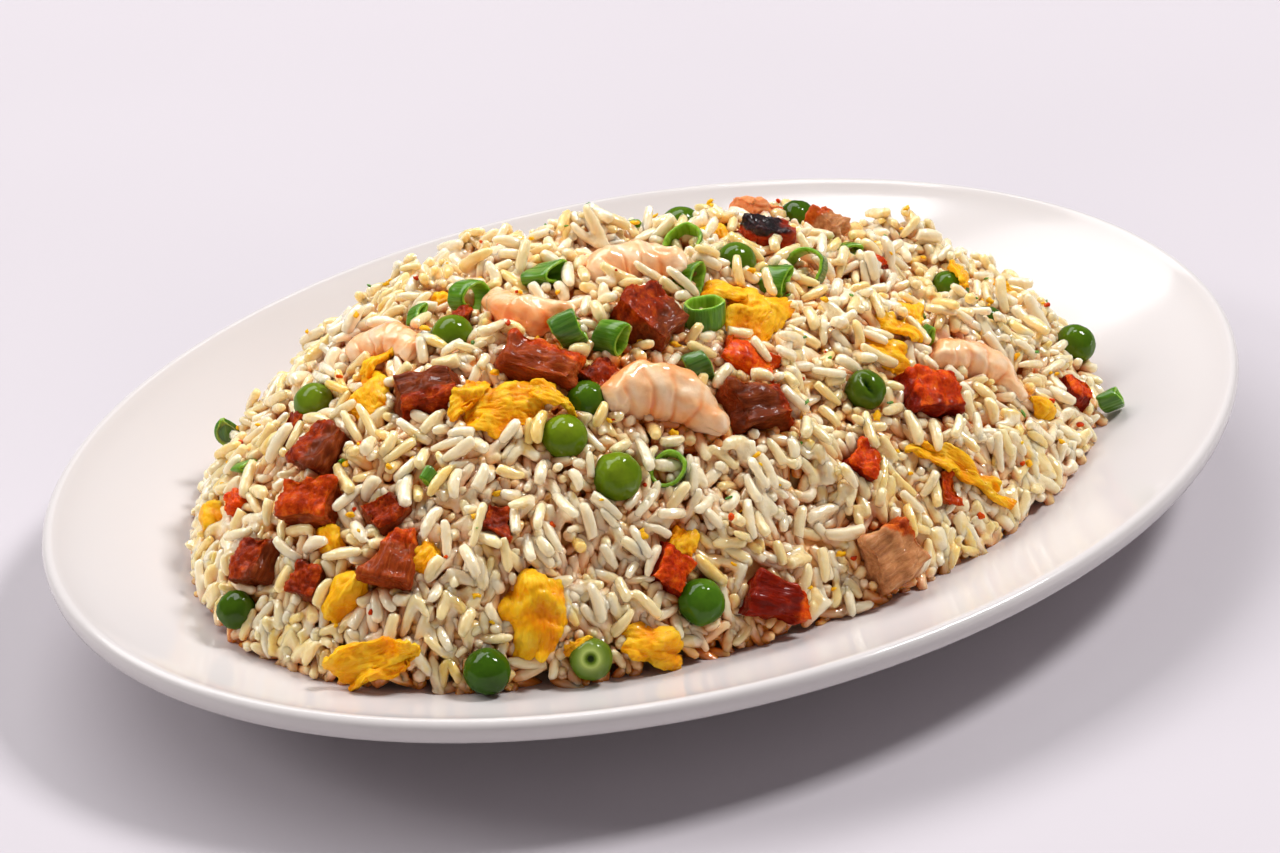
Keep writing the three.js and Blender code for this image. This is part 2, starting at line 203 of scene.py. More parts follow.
platter = add(bpy.ops.mesh.primitive_plane_add, "platter_dish", size=MM)
profile = platter_profile()
bpy.ops.object.mode_set(mode="EDIT")
bpy.ops.mesh.merge(type="CENTER")
bpy.ops.transform.translate(value=(0, 0, profile[0][1] * MM))
for (x0, z0), (x1, z1) in zip(profile, profile[1:]):
    bpy.ops.mesh.extrude_vertices_move(
        TRANSFORM_OT_translate={"value": ((x1 - x0) * MM, 0, (z1 - z0) * MM)}
    )
bpy.ops.mesh.select_all(action="SELECT")
bpy.ops.mesh.spin(steps=PLATTER_STEPS, angle=math.tau, center=(0, 0, 0), axis=(0, 0, 1))
bpy.ops.mesh.remove_doubles(threshold=1e-6)
bpy.ops.mesh.normals_make_consistent(inside=False)
bpy.ops.object.mode_set(mode="OBJECT")
# The round dish is drawn out into an oval, with a rim band of the same width all round
for vertex in platter.data.vertices:
    across = math.hypot(vertex.co.x, vertex.co.y) / MM
    if across > 0:
        vertex.co.x *= STRETCH if across <= BAND_START else 1 + (HALF_LENGTH - HALF_WIDTH) / across
bpy.ops.object.shade_smooth()
platter.data.materials.append(glaze)
platter.data.materials.append(bare_clay)
for face in platter.data.polygons:
    if face.center.z < BARE_HEIGHT * MM:
        face.material_index = 1
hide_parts("platter")
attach(platter, "root")

# ---- Core of the heap ----
# Packed rice below the grains that show: one closed lump a few millimetres inside the
# heap's outline, with relief as fine as the grains, which only shows in gaps. Its colour is
# painted darker and more orange than the grains': painted shade in those gaps.

HEAP_RADIUS = 68.5
HEAP_LOBES = ((-0.034, -0.028), (0.041, 0), (0.008, -0.005), (-0.007, 0.021))
HEAP_HEIGHT = 40
HEAP_CROWN = 2.2
HEAP_SHOULDER = 0.9
HEAP_LEAN_X = -0.3
HEAP_LEAN_Y = 0.14
EDGE_THICKNESS = 1.2
GAP = 0.3
CORE_DEPTH = 5.2
CORE_EDGE = 0.75
CORE_INSET = 5
CORE_UNDER = 0.2
CORE_RELIEF = 2.2
CORE_RELIEF_SIZE = 2.6


def heap_outline(angle):
    wave = 1
    for i, (cosine, sine) in enumerate(HEAP_LOBES, 1):
        wave = wave + cosine * np.cos(i * angle) + sine * np.sin(i * angle)
    return HEAP_RADIUS * wave


def heap_share(x, y, inset=0):
    """0 in the middle of the heap and 1 at its outline."""
    u = x / STRETCH
    return np.hypot(u, y) / (heap_outline(np.arctan2(y, u)) - inset)


def heap_top(x, y):
    u = x / STRETCH
    outline = heap_outline(np.arctan2(y, u))
    share = np.minimum(np.hypot(u, y) / outline, 1)
    dome = (1 - share**HEAP_CROWN) ** HEAP_SHOULDER
    lean = 1 + HEAP_LEAN_X * u / HEAP_RADIUS + HEAP_LEAN_Y * y / HEAP_RADIUS
    domed = side_height(outline) + GAP + EDGE_THICKNESS + HEAP_HEIGHT * dome * lean
    return np.where(share < 1, domed, platter_top(x, y) + GAP)


def core_top(x, y, share):
    return heap_top(x, y) - CORE_DEPTH * (1 - CORE_EDGE * share**6)


def select(piece):
    bpy.ops.object.select_all(action="DESELECT")
    piece.select_set(True)
    bpy.context.view_layer.objects.active = piece


def edit(piece, *steps):
    """Runs edit-mode steps on the whole of a piece."""
    select(piece)
    bpy.ops.object.mode_set(mode="EDIT")
    bpy.ops.mesh.select_all(action="SELECT")
    for step, settings in steps:
        step(**settings)
    bpy.ops.object.mode_set(mode="OBJECT")


def apply(piece, kind, **settings):
    modifier = piece.modifiers.new(kind.title(), kind)
    for key, value in settings.items():
        setattr(modifier, key, value)
    bpy.context.view_layer.objects.active = piece
    bpy.ops.object.modifier_apply(modifier=modifier.name)


core_rice = new_material(
    "packed_rice_shaded",
    Roughness=0.42,
    Subsurface_Weight=0.35,
    Subsurface_Radius=(1.0, 0.75, 0.45),
    Subsurface_Scale=0.0016,
)
at = places(core_rice)
# Darker, more orange rice than the grains: painted shade for the gaps
feed(
    core_rice,
    Base_Color=ramp(
        core_rice,
        noise(core_rice, at, 260, 4),
        (0.25, 210, 138, 56),
        (0.55, 240, 186, 112),
        (0.8, 248, 210, 150),
    ),
    Normal=bump(core_rice, noise(core_rice, at, 420, 3), 0.0012),
)

core = add(bpy.ops.mesh.primitive_uv_sphere_add, "rice_core", segments=128, ring_count=72, radius=1)
for vertex in core.data.vertices:
    x, y, z = vertex.co
    angle = math.atan2(y, x)
    upper = z >= CORE_UNDER - 1
    share = min(math.sqrt((1 - z) / (2 - CORE_UNDER) if upper else (1 + z) / CORE_UNDER), 1)
    reach = (float(heap_outline(angle)) - CORE_INSET) * share
    x, y = STRETCH * reach * math.cos(angle), reach * math.sin(angle)
    low = float(platter_top(x, y)) + GAP
    if upper:
        low = max(low + 0.6 * (1 - share), float(core_top(x, y, share)))
    vertex.co = Vector((x, y, low)) * MM
edit(core, (bpy.ops.mesh.remove_doubles, {"threshold": 1e-6}), (bpy.ops.mesh.normals_make_consistent, {}))
relief = bpy.data.textures.new("grain_relief", "CLOUDS")
relief.noise_scale = CORE_RELIEF_SIZE * MM
group = core.vertex_groups.new(name="top")
group.add([v.index for v in core.data.vertices if v.normal.z > 0.2], 1, "REPLACE")
apply(core, "DISPLACE", texture=relief, strength=CORE_RELIEF * MM, mid_level=0.5, vertex_group="top")
bpy.ops.object.shade_smooth()
core.data.materials.append(core_rice)
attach(core, "root")

# ---- Peas ----
# Boiled green peas, fried for a moment so that their skins wrinkle a little and shine with
# oil. Each is slightly flattened, and some show the pale scar where they joined the pod.

PEA_FLATNESS = 0.94
SCAR_DEPTH = 0.9
SLIT_DEPTH = 2.2
# x, y, diameter, lift, how deep its skin has wrinkled and how much painted shade darkens it. Then the pod scar,
# where
# one shows: the compass and rise of its side, its size, and how narrow it is, which below 1 is a slit, painted
# dark as shade
PEAS = (
    (-72, 13, 7.8, 1.2, 0.3, 0.4), (-49, 1, 8.2, 1.2, 0.2, 0.3), (-46, -30, 8.4, 1.2, 0.3, 0.1),
    (-41, -39, 9, 1.8, 0.9, 0.15), (13, -4, 8, 1.8, 0.2, 0.5), (22, 25, 8.6, 1.4, 0.2, 0.4),
    (48, 20, 8, 2.2, 0.5, 0.7), (17, -39, 8, 1.6, 0.45, 0.7, -120, 46, 0.5, 0.24),
    (62, -12, 8, 1.2, 0.4, 0.6), (86, -24, 8.4, 2.2, 0.3, 0.6), (-36, -58, 8.6, 1.2, 0.5, 1.0),
    (-59, -56, 7.8, 1.6, 0.3, 0.6, -126, 34, 0.42, 1), (-76, -49, 8.4, 1.8, 0.3, 0.9),
    (-12, 60, 8.4, 1.2, 0.3, 0.3), (55, 48, 7.8, 1.6, 0.4, 0.4), (36, 55, 8.2, 1.2, 0.3, 0.3),
)
SMALL_PEAS = (
    (-38, -26, 7.4, 0.6, 0.3, 0.8), (64, -22, 6.8, 1, 0.4, 0.8), (-103, -9, 7.2, 1, 0.6, 0.8),
    (20, 58, 7.4, 3, 0.3, 0.3),
)

mathutils_noise.seed_set(5)
uneven = mathutils_noise.noise
toppings = []


def facing(compass, above):
    flat, up = math.radians(compass), math.radians(above)
    return Vector((math.cos(up) * math.cos(flat), math.cos(up) * math.sin(flat), math.sin(up)))


def heap_normal(x, y, step=3):
    slope_x = (heap_top(x + step, y) - heap_top(x - step, y)) / (2 * step)
    slope_y = (heap_top(x, y + step) - heap_top(x, y - step)) / (2 * step)
    return Vector((-float(slope_x), -float(slope_y), 1)).normalized()


def seat(x, y, lift, turn=0, axis=None):
    """Where a topping lies in the heap, as a matrix in metres: its Z axis faces axis, or out of the heap."""
    normal = heap_normal(x, y)
    lean = Vector((0, 0, 1)).rotation_difference(axis or normal)
    spin = Quaternion((0, 0, 1), math.radians(turn))
    middle = (Vector((x, y, float(heap_top(x, y)))) + normal * lift) * MM
    return Matrix.Translation(middle) @ (lean @ spin).to_matrix().to_4x4()


def carry(mesh, name, values):
    """Gives each corner of a mesh a number that its material reads."""
    mesh.attributes.new(name, "FLOAT", "POINT").data.foreach_set("value", values)


def settle(piece, where, material, node_name=None):
    """Keeps the piece's own coordinates for its pattern, then puts it in the heap."""
    own = piece.data.attributes.new("own_place", "FLOAT_VECTOR", "POINT")
    own.data.foreach_set("vector", [c for v in piece.data.vertices for c in v.co])
    piece.data.transform(where)
    select(piece)
    bpy.ops.object.shade_smooth()
    if not piece.data.materials:
        piece.data.materials.append(material)
    if node_name:
        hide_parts(node_name)
    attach(piece, "root")
    toppings.append(piece)


def food_material(name, inside, tint, reach, shine, wet, smear):
    """Food that light enters a little way, under a wet film: smear is how rough that film is."""
    return new_material(
        name,
        Subsurface_Weight=inside,
        Subsurface_Radius=tint,
        Subsurface_Scale=reach,
        Specular_IOR_Level=shine,
        Coat_Weight=wet,
        Coat_Roughness=smear,
    )


def carried(material, name):
    return node(material, "ShaderNodeAttribute", {}, attribute_name=name).outputs["Fac"]


def own_places(material):
    return node(material, "ShaderNodeAttribute", {}, attribute_name="own_place").outputs["Vector"]


def drawn_out(material, scale, turn=(0, 0, 0)):
    """The piece's own coordinates, scaled so that a pattern is drawn out along it."""
    sockets = {"Vector": own_places(material), "Scale": scale, "Rotation": turn}
    return node(material, "ShaderNodeMapping", sockets).outputs["Vector"]


def blend(material, share, one, other):
    return node(material, "ShaderNodeMix", {0: share, 6: one, 7: other}, data_type="RGBA").outputs[2]


def maths(material, operation, *values):
    return node(material, "ShaderNodeMath", dict(enumerate(values)), operation=operation).outputs[0]


pea_skin = food_material("pea_skin", 0.2, (1.0, 1.0, 0.15), 0.0012, shine=0.0, wet=0.5, smear=0.03)
at = own_places(pea_skin)
wrinkles = noise(pea_skin, drawn_out(pea_skin, (1.0, 1.0, 0.3)), 420, 2, 0.5, 1.5)
patches = noise(pea_skin, places(pea_skin), 60, 2)
# A lit green and a darker painted-shade copy of it, mixed by each pea's painted shade
lit_green = ramp(pea_skin, patches, (0.32, 72, 100, 2), (0.52, 100, 126, 10), (0.7, 132, 150, 30))
patches = noise(pea_skin, places(pea_skin), 90, 2)
shaded_green = ramp(pea_skin, patches, (0.34, 22, 54, 2), (0.54, 38, 78, 6), (0.7, 68, 106, 16))
scar_and_dent_shade = carried(pea_skin, "scar_and_dent_shade")
# The pod scar is pale at its rim, and its sunken middle is painted dark: painted shade in the dent
feed(
    pea_skin,
    Base_Color=blend(
        pea_skin,
        ramp(pea_skin, scar_and_dent_shade, (0, 0), (0.3, 1)),
        blend(pea_skin, carried(pea_skin, "pea_shade"), lit_green, shaded_green),
        ramp(pea_skin, scar_and_dent_shade, (0.3, 176, 192, 104), (0.6, 96, 120, 30), (0.85, 30, 44, 8)),
    ),
    Roughness=ramp(pea_skin, noise(pea_skin, at, 700, 3), (0.3, 0.26), (0.7, 0.42)),
    Normal=bump(pea_skin, wrinkles, 0.0003, 0.35),
)

for i, (x, y, diameter, lift, wrinkled, painted_shade, *scar_side) in enumerate(PEAS + SMALL_PEAS, 1):
    pea = add(
        bpy.ops.mesh.primitive_ico_sphere_add, f"green_pea_{i:02d}", subdivisions=4, radius=diameter / 2 * MM
    )
    edit(pea, (bpy.ops.transform.resize, {"value": (1, 1, PEA_FLATNESS)}))
    where = seat(x, y, lift, 40 * x)
    slit = False
    if scar_side:
        compass, rise, size, narrow = scar_side
        toward = (where.to_3x3().inverted() @ facing(compass, rise)).normalized()
        across = toward.orthogonal().normalized()
        along = toward.cross(across)
        slit = narrow < 1
    scar_and_dent_shades, pea_shades = [], []
    for vertex in pea.data.vertices:
        way = vertex.co.normalized()
        spot = way * 1.6 + Vector((i, 0, 0))
        dent = uneven(spot) * 0.5
        crease = abs(uneven(Vector((spot.x * 1.3, spot.y * 1.3, spot.z * 0.6)))) ** 0.5
        sunk = wrinkled * (0.5 * (0.45 - crease) + dent * 0.9)
        depth = 0
        if scar_side and toward.dot(way) > 0:
            depth = math.exp(-(((way.dot(across) / narrow) ** 2 + way.dot(along) ** 2) / size**2))
        scar_and_dent_shades.append(0.0 if slit else depth)
        # A slit is painted dark: painted shade in its dent, over the pea's own painted shade
        pea_shades.append(max(painted_shade, min(2 * depth, 1)) if slit else painted_shade)
        vertex.co -= way * (sunk + (SLIT_DEPTH if slit else SCAR_DEPTH) * depth) * MM
    carry(pea.data, "scar_and_dent_shade", scar_and_dent_shades)
    carry(pea.data, "pea_shade", pea_shades)
    settle(pea, where, pea_skin, f"pea_{i:02d}" if i <= len(PEAS) else None)

# ---- Prawns ----
# Small peeled prawns, boiled and tossed in the pan: each a curled body that tapers to
# the tail, drawn in at its six segments, with a shallow cut along the back where the
# vein was taken out. The flesh is pearly, with orange bands.

# x, y, length, thickness, degrees of curl, lift, turn
PRAWNS = (
    (-24, -30, 27, 12, 120, 2.6, 55), (-38, -4, 23, 9.5, 150, 1.6, 200),
    (-56, 10, 20, 9, 140, 1.6, 20), (-9, -1, 23, 9.5, 110, 1.2, 70),
    (49, -35, 24, 9.5, 90, 1.2, 60), (19, 52, 23, 9, 130, 0.8, 170),
)
PRAWN_FOLDS = 5
PRAWN_TAPER = 0.34
PRAWN_LUMPS = 1.1
PRAWN_SKIN = 0.2

prawn_flesh = food_material("prawn_flesh", 0.7, (0.8, 0.68, 0.6), 0.0018, shine=0.15, wet=1.0, smear=0.05)
at = own_places(prawn_flesh)
flushed = maths(prawn_flesh, "ADD", noise(prawn_flesh, at, 80, 2, 0.5, 1.0), carried(prawn_flesh, "flush"))
feed(
    prawn_flesh,
    Base_Color=ramp(
        prawn_flesh,
        flushed,
        (0.34, 255, 219, 184),
        (0.48, 255, 200, 150),
        (0.62, 253, 166, 100),
        (0.8, 244, 112, 42),
    ),
    Roughness=ramp(prawn_flesh, noise(prawn_flesh, at, 900, 2), (0.35, 0.2), (0.65, 0.42)),
    Normal=bump(prawn_flesh, noise(prawn_flesh, at, 620, 3, 0.5), 0.0004, 0.5),
)

for i, (x, y, length, thickness, curl, lift, turn) in enumerate(PRAWNS, 1):
    prawn = add(
        bpy.ops.mesh.primitive_uv_sphere_add, f"peeled_prawn_{i:02d}", segments=56, ring_count=96, radius=1
    )
    upright = {"value": math.pi / 2, "orient_axis": "X", "center_override": (0, 0, 0)}
    edit(prawn, (bpy.ops.transform.rotate, upright))
    bend = math.radians(curl)
    arc = length / bend
    flushes = []
    for vertex in prawn.data.vertices:
        px, py, pz = vertex.co
        share = math.acos(max(-1, min(1, py))) / math.pi
        ring = math.hypot(px, pz)
        side = px / ring if ring > 0 else 0
        up = pz / ring if ring > 0 else 0
        # folds between the segments run deeper on the inside of the curl, and the tail is cleft
        phase = (PRAWN_FOLDS * share + 0.3 * side) % 1
        fold = math.exp(-(((phase - 0.5) / 0.12) ** 2)) * (0.12 < share < 0.9)
        drawn = 1 - fold * (0.015 + 0.07 * max(-side, 0))
        cleft = math.exp(-((up / 0.3) ** 2)) * max(0, min((share - 0.84) / 0.1, 1))
        reach = ring**0.42 * (1 - PRAWN_TAPER * share**1.4) * drawn * (1 - 0.35 * cleft) * thickness / 2
        vein = math.exp(-((up / 0.13) ** 2)) * (side > 0) * math.exp(-(((share - 0.35) / 0.28) ** 4))
        reach *= 1 - 0.12 * vein
        angle = bend * (0.5 - share)
        spread = arc + side * reach
        place = Vector((spread * math.cos(angle) - arc, spread * math.sin(angle), up * reach))
        spot = place * 0.22 + Vector((3 * i, 0, 0))
        place += Vector(mathutils_noise.noise_vector(spot)) * PRAWN_LUMPS
        place += Vector(mathutils_noise.noise_vector(spot * 3)) * PRAWN_SKIN
        vertex.co = place * MM
        pale_end = max(0, share - 0.8) + max(0, 0.12 - share)
        flushes.append(0.16 * max(side, 0) + 0.09 * fold + 0.08 * vein - pale_end)
    carry(prawn.data, "flush", flushes)
    edit(prawn, (bpy.ops.mesh.normals_make_consistent, {}))
    settle(prawn, seat(x, y, lift, turn), prawn_flesh, f"prawn_{i:02d}")

# ---- Roast pork ----
# Dice of red roast pork, cut by hand from a glazed strip: fibrous brown faces where the
# knife went, a rough red crust on the sides that faced the fire, one of them charred.


def pork_material(name, meat, crust, wet):
    """meat and crust are each some colours from dark to light."""
    material = food_material(name, 0.3, (1.0, 0.25, 0.1), 0.0014, shine=0.06, wet=0.5 * wet, smear=0.05)
    at = own_places(material)
    grain = noise(material, drawn_out(material, (0.14, 1.0, 1.0), (0, 0.3, 0.3)), 1300, 4, 0.6, 0.3)
    blotches = noise(material, at, 230, 4, 0.6, 0.5)
    edge = maths(material, "ADD", carried(material, "crust"), maths(material, "MULTIPLY", blotches, 0.6))
    mask = node(
        material,
        "ShaderNodeMapRange",
        {"Value": edge, "From Min": 0.82, "From Max": 1.0},
        interpolation_type="SMOOTHSTEP",
    ).outputs["Result"]
    streaks = maths(material, "ADD", grain, maths(material, "SUBTRACT", blotches, 0.5))
    cut = ramp(material, streaks, *((place, *swatch) for place, swatch in zip((0.12, 0.54, 1.0), meat)))
    flecks = noise(material, at, 420, 5, 0.7)
    burnt = ramp(material, flecks, *((place, *swatch) for place, swatch in zip((0.34, 0.52, 0.7), crust)))
    rough = noise(material, at, 1100, 5, 0.7)
    relief = node(material, "ShaderNodeMix", {0: mask, 2: grain, 3: rough}, data_type="FLOAT").outputs[0]
    feed(
        material,
        Base_Color=blend(material, mask, cut, burnt),
        Roughness=ramp(material, rough, (0.35, 0.24), (0.65, 0.55)),
        Normal=bump(material, relief, 0.0004, 0.8),
    )
    return material


# How wet it is, then the colours of the meat and of the crust, each from dark to light
PORK_COLOURS = (
    ("mahogany", 0.25, (74, 26, 8), (118, 48, 16), (170, 92, 44), (100, 22, 2), (152, 46, 3), (206, 90, 20)),
    ("red", 0.25, (84, 9, 0), (128, 22, 1), (176, 54, 6), (160, 30, 0), (208, 66, 2), (240, 118, 18)),
    ("brown", 0.2, (132, 76, 42), (190, 128, 80), (226, 178, 130), (140, 44, 6), (190, 80, 16), (224, 124, 44)),
    ("rust", 0.25, (104, 34, 8), (150, 60, 18), (196, 108, 48), (140, 34, 0), (192, 64, 3), (230, 110, 20)),
    ("pale", 0.4, (206, 106, 52), (236, 152, 96), (248, 200, 156), (200, 54, 2), (238, 96, 10), (250, 150, 56)),
    ("orange", 0.5, (184, 40, 0), (222, 74, 0), (244, 122, 6), (188, 42, 0), (228, 80, 0), (248, 134, 10)),
    ("charred", 0.5, (104, 20, 4), (160, 44, 12), (200, 88, 36), (12, 8, 8), (34, 18, 20), (76, 46, 44)),
)
PORK_FINISHES = {
    name: pork_material(f"pork_{name}", swatches[:3], swatches[3:], wet) for name, wet, *swatches in PORK_COLOURS
}
PORK_CUTS = 21
CORNER_SHIFT = 0.13
# x, y, length, width, height, lift, turn, share of the width at the narrow end, finish, then the
# side of the crust, which is the upper one where none is given
PORK = (
    (-61, -9, 12, 8.5, 6, 1.4, -30, 0.85, "mahogany", 0, -1, 0.4),
    (-42, -17, 14, 8, 5, 2.2, -48, 0.85, "rust", 0.2, 1, 0.2),
    (-17, -16, 13, 11.5, 10, 2.2, 20, 0.7, "mahogany", -0.2, 0.6, 0.9),
    (38, 20, 12, 8, 7, 2.4, 10, 0.6, "pale", 1, 0.1, 0.2),
    (27, 4, 11, 8, 6, 1.4, -20, 0.85, "charred", -0.4, 0, 1),
    (-3, -28, 13, 7, 5, 1.4, -50, 0.7, "orange"),
    (-7, -37, 12, 9, 7.5, 1.6, -10, 0.85, "mahogany", 1, 0, 0.1),
    (31, -42, 12, 11, 9, 1.6, -20, 0.75, "red", 0, 0.3, 1),
    (-79, -2, 9.5, 8.5, 7, 1.6, 15, 0.85, "mahogany", 0, 0.6, 0.8),
    (-86, -10, 10, 8, 6.5, 1.8, -60, 0.85, "rust", 0, 0.2, 1),
    (-97, -7, 8.5, 7, 6, 1.2, 20, 0.85, "mahogany", 0.2, 0.2, 1),
    (-81, -29, 11, 9, 8, 0.8, 35, 0.5, "rust", 1, 0, 0.4),
    (-22, -62, 11, 9, 6, 1.6, -35, 0.5, "red", 1, 0, 0),
    (4, -63, 10, 10, 8, 1.6, 10, 0.85, "brown", 0.9, 0.9, 0),
    (44, 46, 10, 8, 7, 1, 60, 0.85, "mahogany"),
    (66, 42, 10, 8, 7, 1, 120, 0.6, "red", 0, 1, 0.3),
)
SMALL_PORK = (
    (44, 7, 8, 7, 6.5, 2.4, 30, 0.85, "brown", 0, 1, 0.6), (-39, -53, 7.5, 7, 6, 0.8, 40, 0.85, "red"),
    (-79, -22, 7, 6, 5, 0.8, 0, 0.85, "mahogany"), (8, -50, 7, 6, 5, 1, 30, 0.85, "red"),
    (73, -39, 7, 6, 5, 1, 70, 0.85, "red"), (-78, 12, 6, 5, 4, 0.8, 10, 0.85, "mahogany"),
    (76, 22, 7, 6, 5, 1, 50, 0.85, "mahogany"), (-45, 4, 6, 4, 3, 1.6, 20, 0.6, "mahogany"),
    (-91, 11, 5, 4, 3.6, 1, 60, 0.7, "orange"), (-33, -23, 7, 6, 5, 0.4, 10, 0.7, "mahogany"),
    (-64, -35, 6, 5, 4, 0.6, 40, 0.8, "mahogany"), (23, -57, 6, 4, 3.4, 0.8, 70, 0.7, "rust"),
    (47, -6, 5, 4, 3.4, 1.2, 0, 0.7, "red"), (-94, -19, 6, 5, 4, 0.8, 30, 0.8, "mahogany"),
)

for i, (x, y, length, width, height, lift, turn, narrow, finish, *crust) in enumerate(PORK + SMALL_PORK, 1):
    draw = random.Random(100 + i)
    dice = add(bpy.ops.mesh.primitive_cube_add, f"roast_pork_{i:02d}", size=1)
    edit(dice, (bpy.ops.mesh.subdivide, {"number_cuts": PORK_CUTS}))
    shifts = [
        (corner, Vector([draw.uniform(-CORNER_SHIFT, CORNER_SHIFT) for _ in range(3)]))
        for corner in product((-1, 1), repeat=3)
    ]
    facing_fire = Vector(crust or (0, 0, 1)).normalized()
    outside = []
    for vertex in dice.data.vertices:
        px, py, pz = vertex.co
        squeeze = 1 - (1 - narrow) * (px + 0.5)
        blunt = vertex.co.lerp(vertex.co.normalized() * 0.5, 0.14)
        pull = Vector((0, 0, 0))
        for (a, b, c), shift in shifts:
            pull += shift * max((a * px + 0.5) * (b * py + 0.5) * (c * pz + 0.5), 0)
        outside.append(max(0, facing_fire.dot(vertex.co) * 1.7))
        blunt += pull
        vertex.co = Vector((blunt.x * length, blunt.y * width * squeeze, blunt.z * height * squeeze)) * MM
    # torn fibres stand out lengthwise on the cut sides, and the crust is rough all over
    normals = [v.normal.copy() for v in dice.data.vertices]
    for vertex, normal, crusty in zip(dice.data.vertices, normals, outside):
        spot = vertex.co / MM + Vector((19 * i, 0, 0))
        swell = uneven(spot * 0.28) * 1.4
        torn = 0.5 - abs(uneven(Vector((spot.x * 0.25, spot.y * 0.8, spot.z * 0.8)))) * 2
        craggy = uneven(spot * 1.1) + 0.6 * uneven(spot * 2.3)
        crusty = min(crusty * 1.3, 1)
        vertex.co += normal * (swell + 0.34 * torn * (1 - crusty) + 0.36 * craggy * (0.25 + crusty)) * MM
    carry(dice.data, "crust", outside)
    node_name = f"pork_{i:02d}" if i <= len(PORK) else None
    settle(dice, seat(x, y, lift, turn), PORK_FINISHES[finish], node_name)

# ---- Egg ----
# Scrambled egg, fried as a thin sheet and torn into scraps: soft crumpled folds with
# ragged edges, deep yellow, finely pitted.

egg_curd = food_material("egg_curd", 0.5, (1.0, 0.8, 0.3), 0.0012, shine=0.12, wet=0.2, smear=0.08)
at = own_places(egg_curd)
pits = noise(egg_curd, drawn_out(egg_curd, (0.35, 1, 1)), 800, 6, 0.7, 0.6)
# Random tint, and painted shade: the low valleys of the folds are painted a darker orange
tint_and_crease_shade = maths(egg_curd, "SUBTRACT", noise(egg_curd, at, 300, 4, 0.6, 1.0), carried(egg_curd, "crease_shade"))
feed(
    egg_curd,
    Base_Color=ramp(
        egg_curd, tint_and_crease_shade, (0.05, 248, 150, 0), (0.3, 252, 168, 4), (0.54, 254, 184, 18), (0.8, 255, 202, 50)
    ),
    Roughness=ramp(egg_curd, pits, (0.35, 0.28), (0.65, 0.5)),
    Normal=bump(egg_curd, pits, 0.0005, 0.9),
)

# x, y, length, width, thickness, fold, lift, turn, and how far its long sides curl up
EGG = (
    (-67, 2, 12, 8, 3.6, 1.2, 1, 60, 0), (-52, -21, 15, 9.5, 4.4, 1.6, 1, -30, 0),
    (6, -19, 14, 11, 6, 1.6, 0.8, 30, 0), (28, -32, 12, 7, 4, 1.2, 0.8, -30, 0),
    (-65, -48, 15, 10, 6, 1.8, 1.4, 60, -1.5), (-91, -37, 15, 7, 3, 1.2, 1.4, -20, 3),
    (-47, -59, 10, 7, 4, 1, 1, -30, 0), (28, -55, 22, 4.6, 2, 1.6, 1.2, -40, 2),
    (2, 55, 13, 8, 4.4, 1.4, 0.8, 20, 0),
)
SMALL_EGG = (
    (-91, -26, 9, 6, 3.6, 1, 0.8, 10, 0), (-93, 17, 7, 5, 3, 0.6, 0.8, 40, 0),
    (83, -5, 8, 5, 3, 0.6, 0.8, 0, 0), (53, 5, 7, 5, 3, 0.6, 0.8, 30, 0), (41, -23, 8, 4, 3, 0.6, 0.8, 60, 1),
    (59, -44, 6, 5, 3, 0.6, 0.8, 20, 0), (20, 12, 7, 5, 3, 0.6, 0.8, 80, 0),
    (-30, 58, 8, 6, 3, 0.6, 0.8, 15, 0), (62, 20, 8, 5, 3, 0.6, 0.8, 120, 0),
    (-57, -16, 9, 4, 2, 0.8, 3, 20, 1.5), (-45, -24, 9, 3.6, 2, 0.8, 2.6, -60, 1.5),
    (-61, 6, 7, 3.6, 2, 0.8, 2, 10, 1), (3, -13, 8, 5, 3, 1, 2.6, -40, 0),
    (34, -27, 10, 4, 2, 1, 1.6, -70, 1), (-42, 16, 6, 4, 2, 0.6, 0.8, 0, 0), (-88, -16, 6, 4, 2, 0.6, 0.8, 70, 0),
    (-78, -32, 6, 4.4, 2, 0.6, 0.8, 20, 0), (-34, -51, 6, 4, 2, 0.6, 0.8, 40, 0),
    (62, -12, 9, 2.6, 1, 0.4, 5, 60, 0), (-60, -54, 6, 2.6, 1, 0.8, 2, -20, 1),
)
EGG_SHEET = 1.3
EGG_GRID = (44, 32)
SMALL_EGG_GRID = (26, 18)

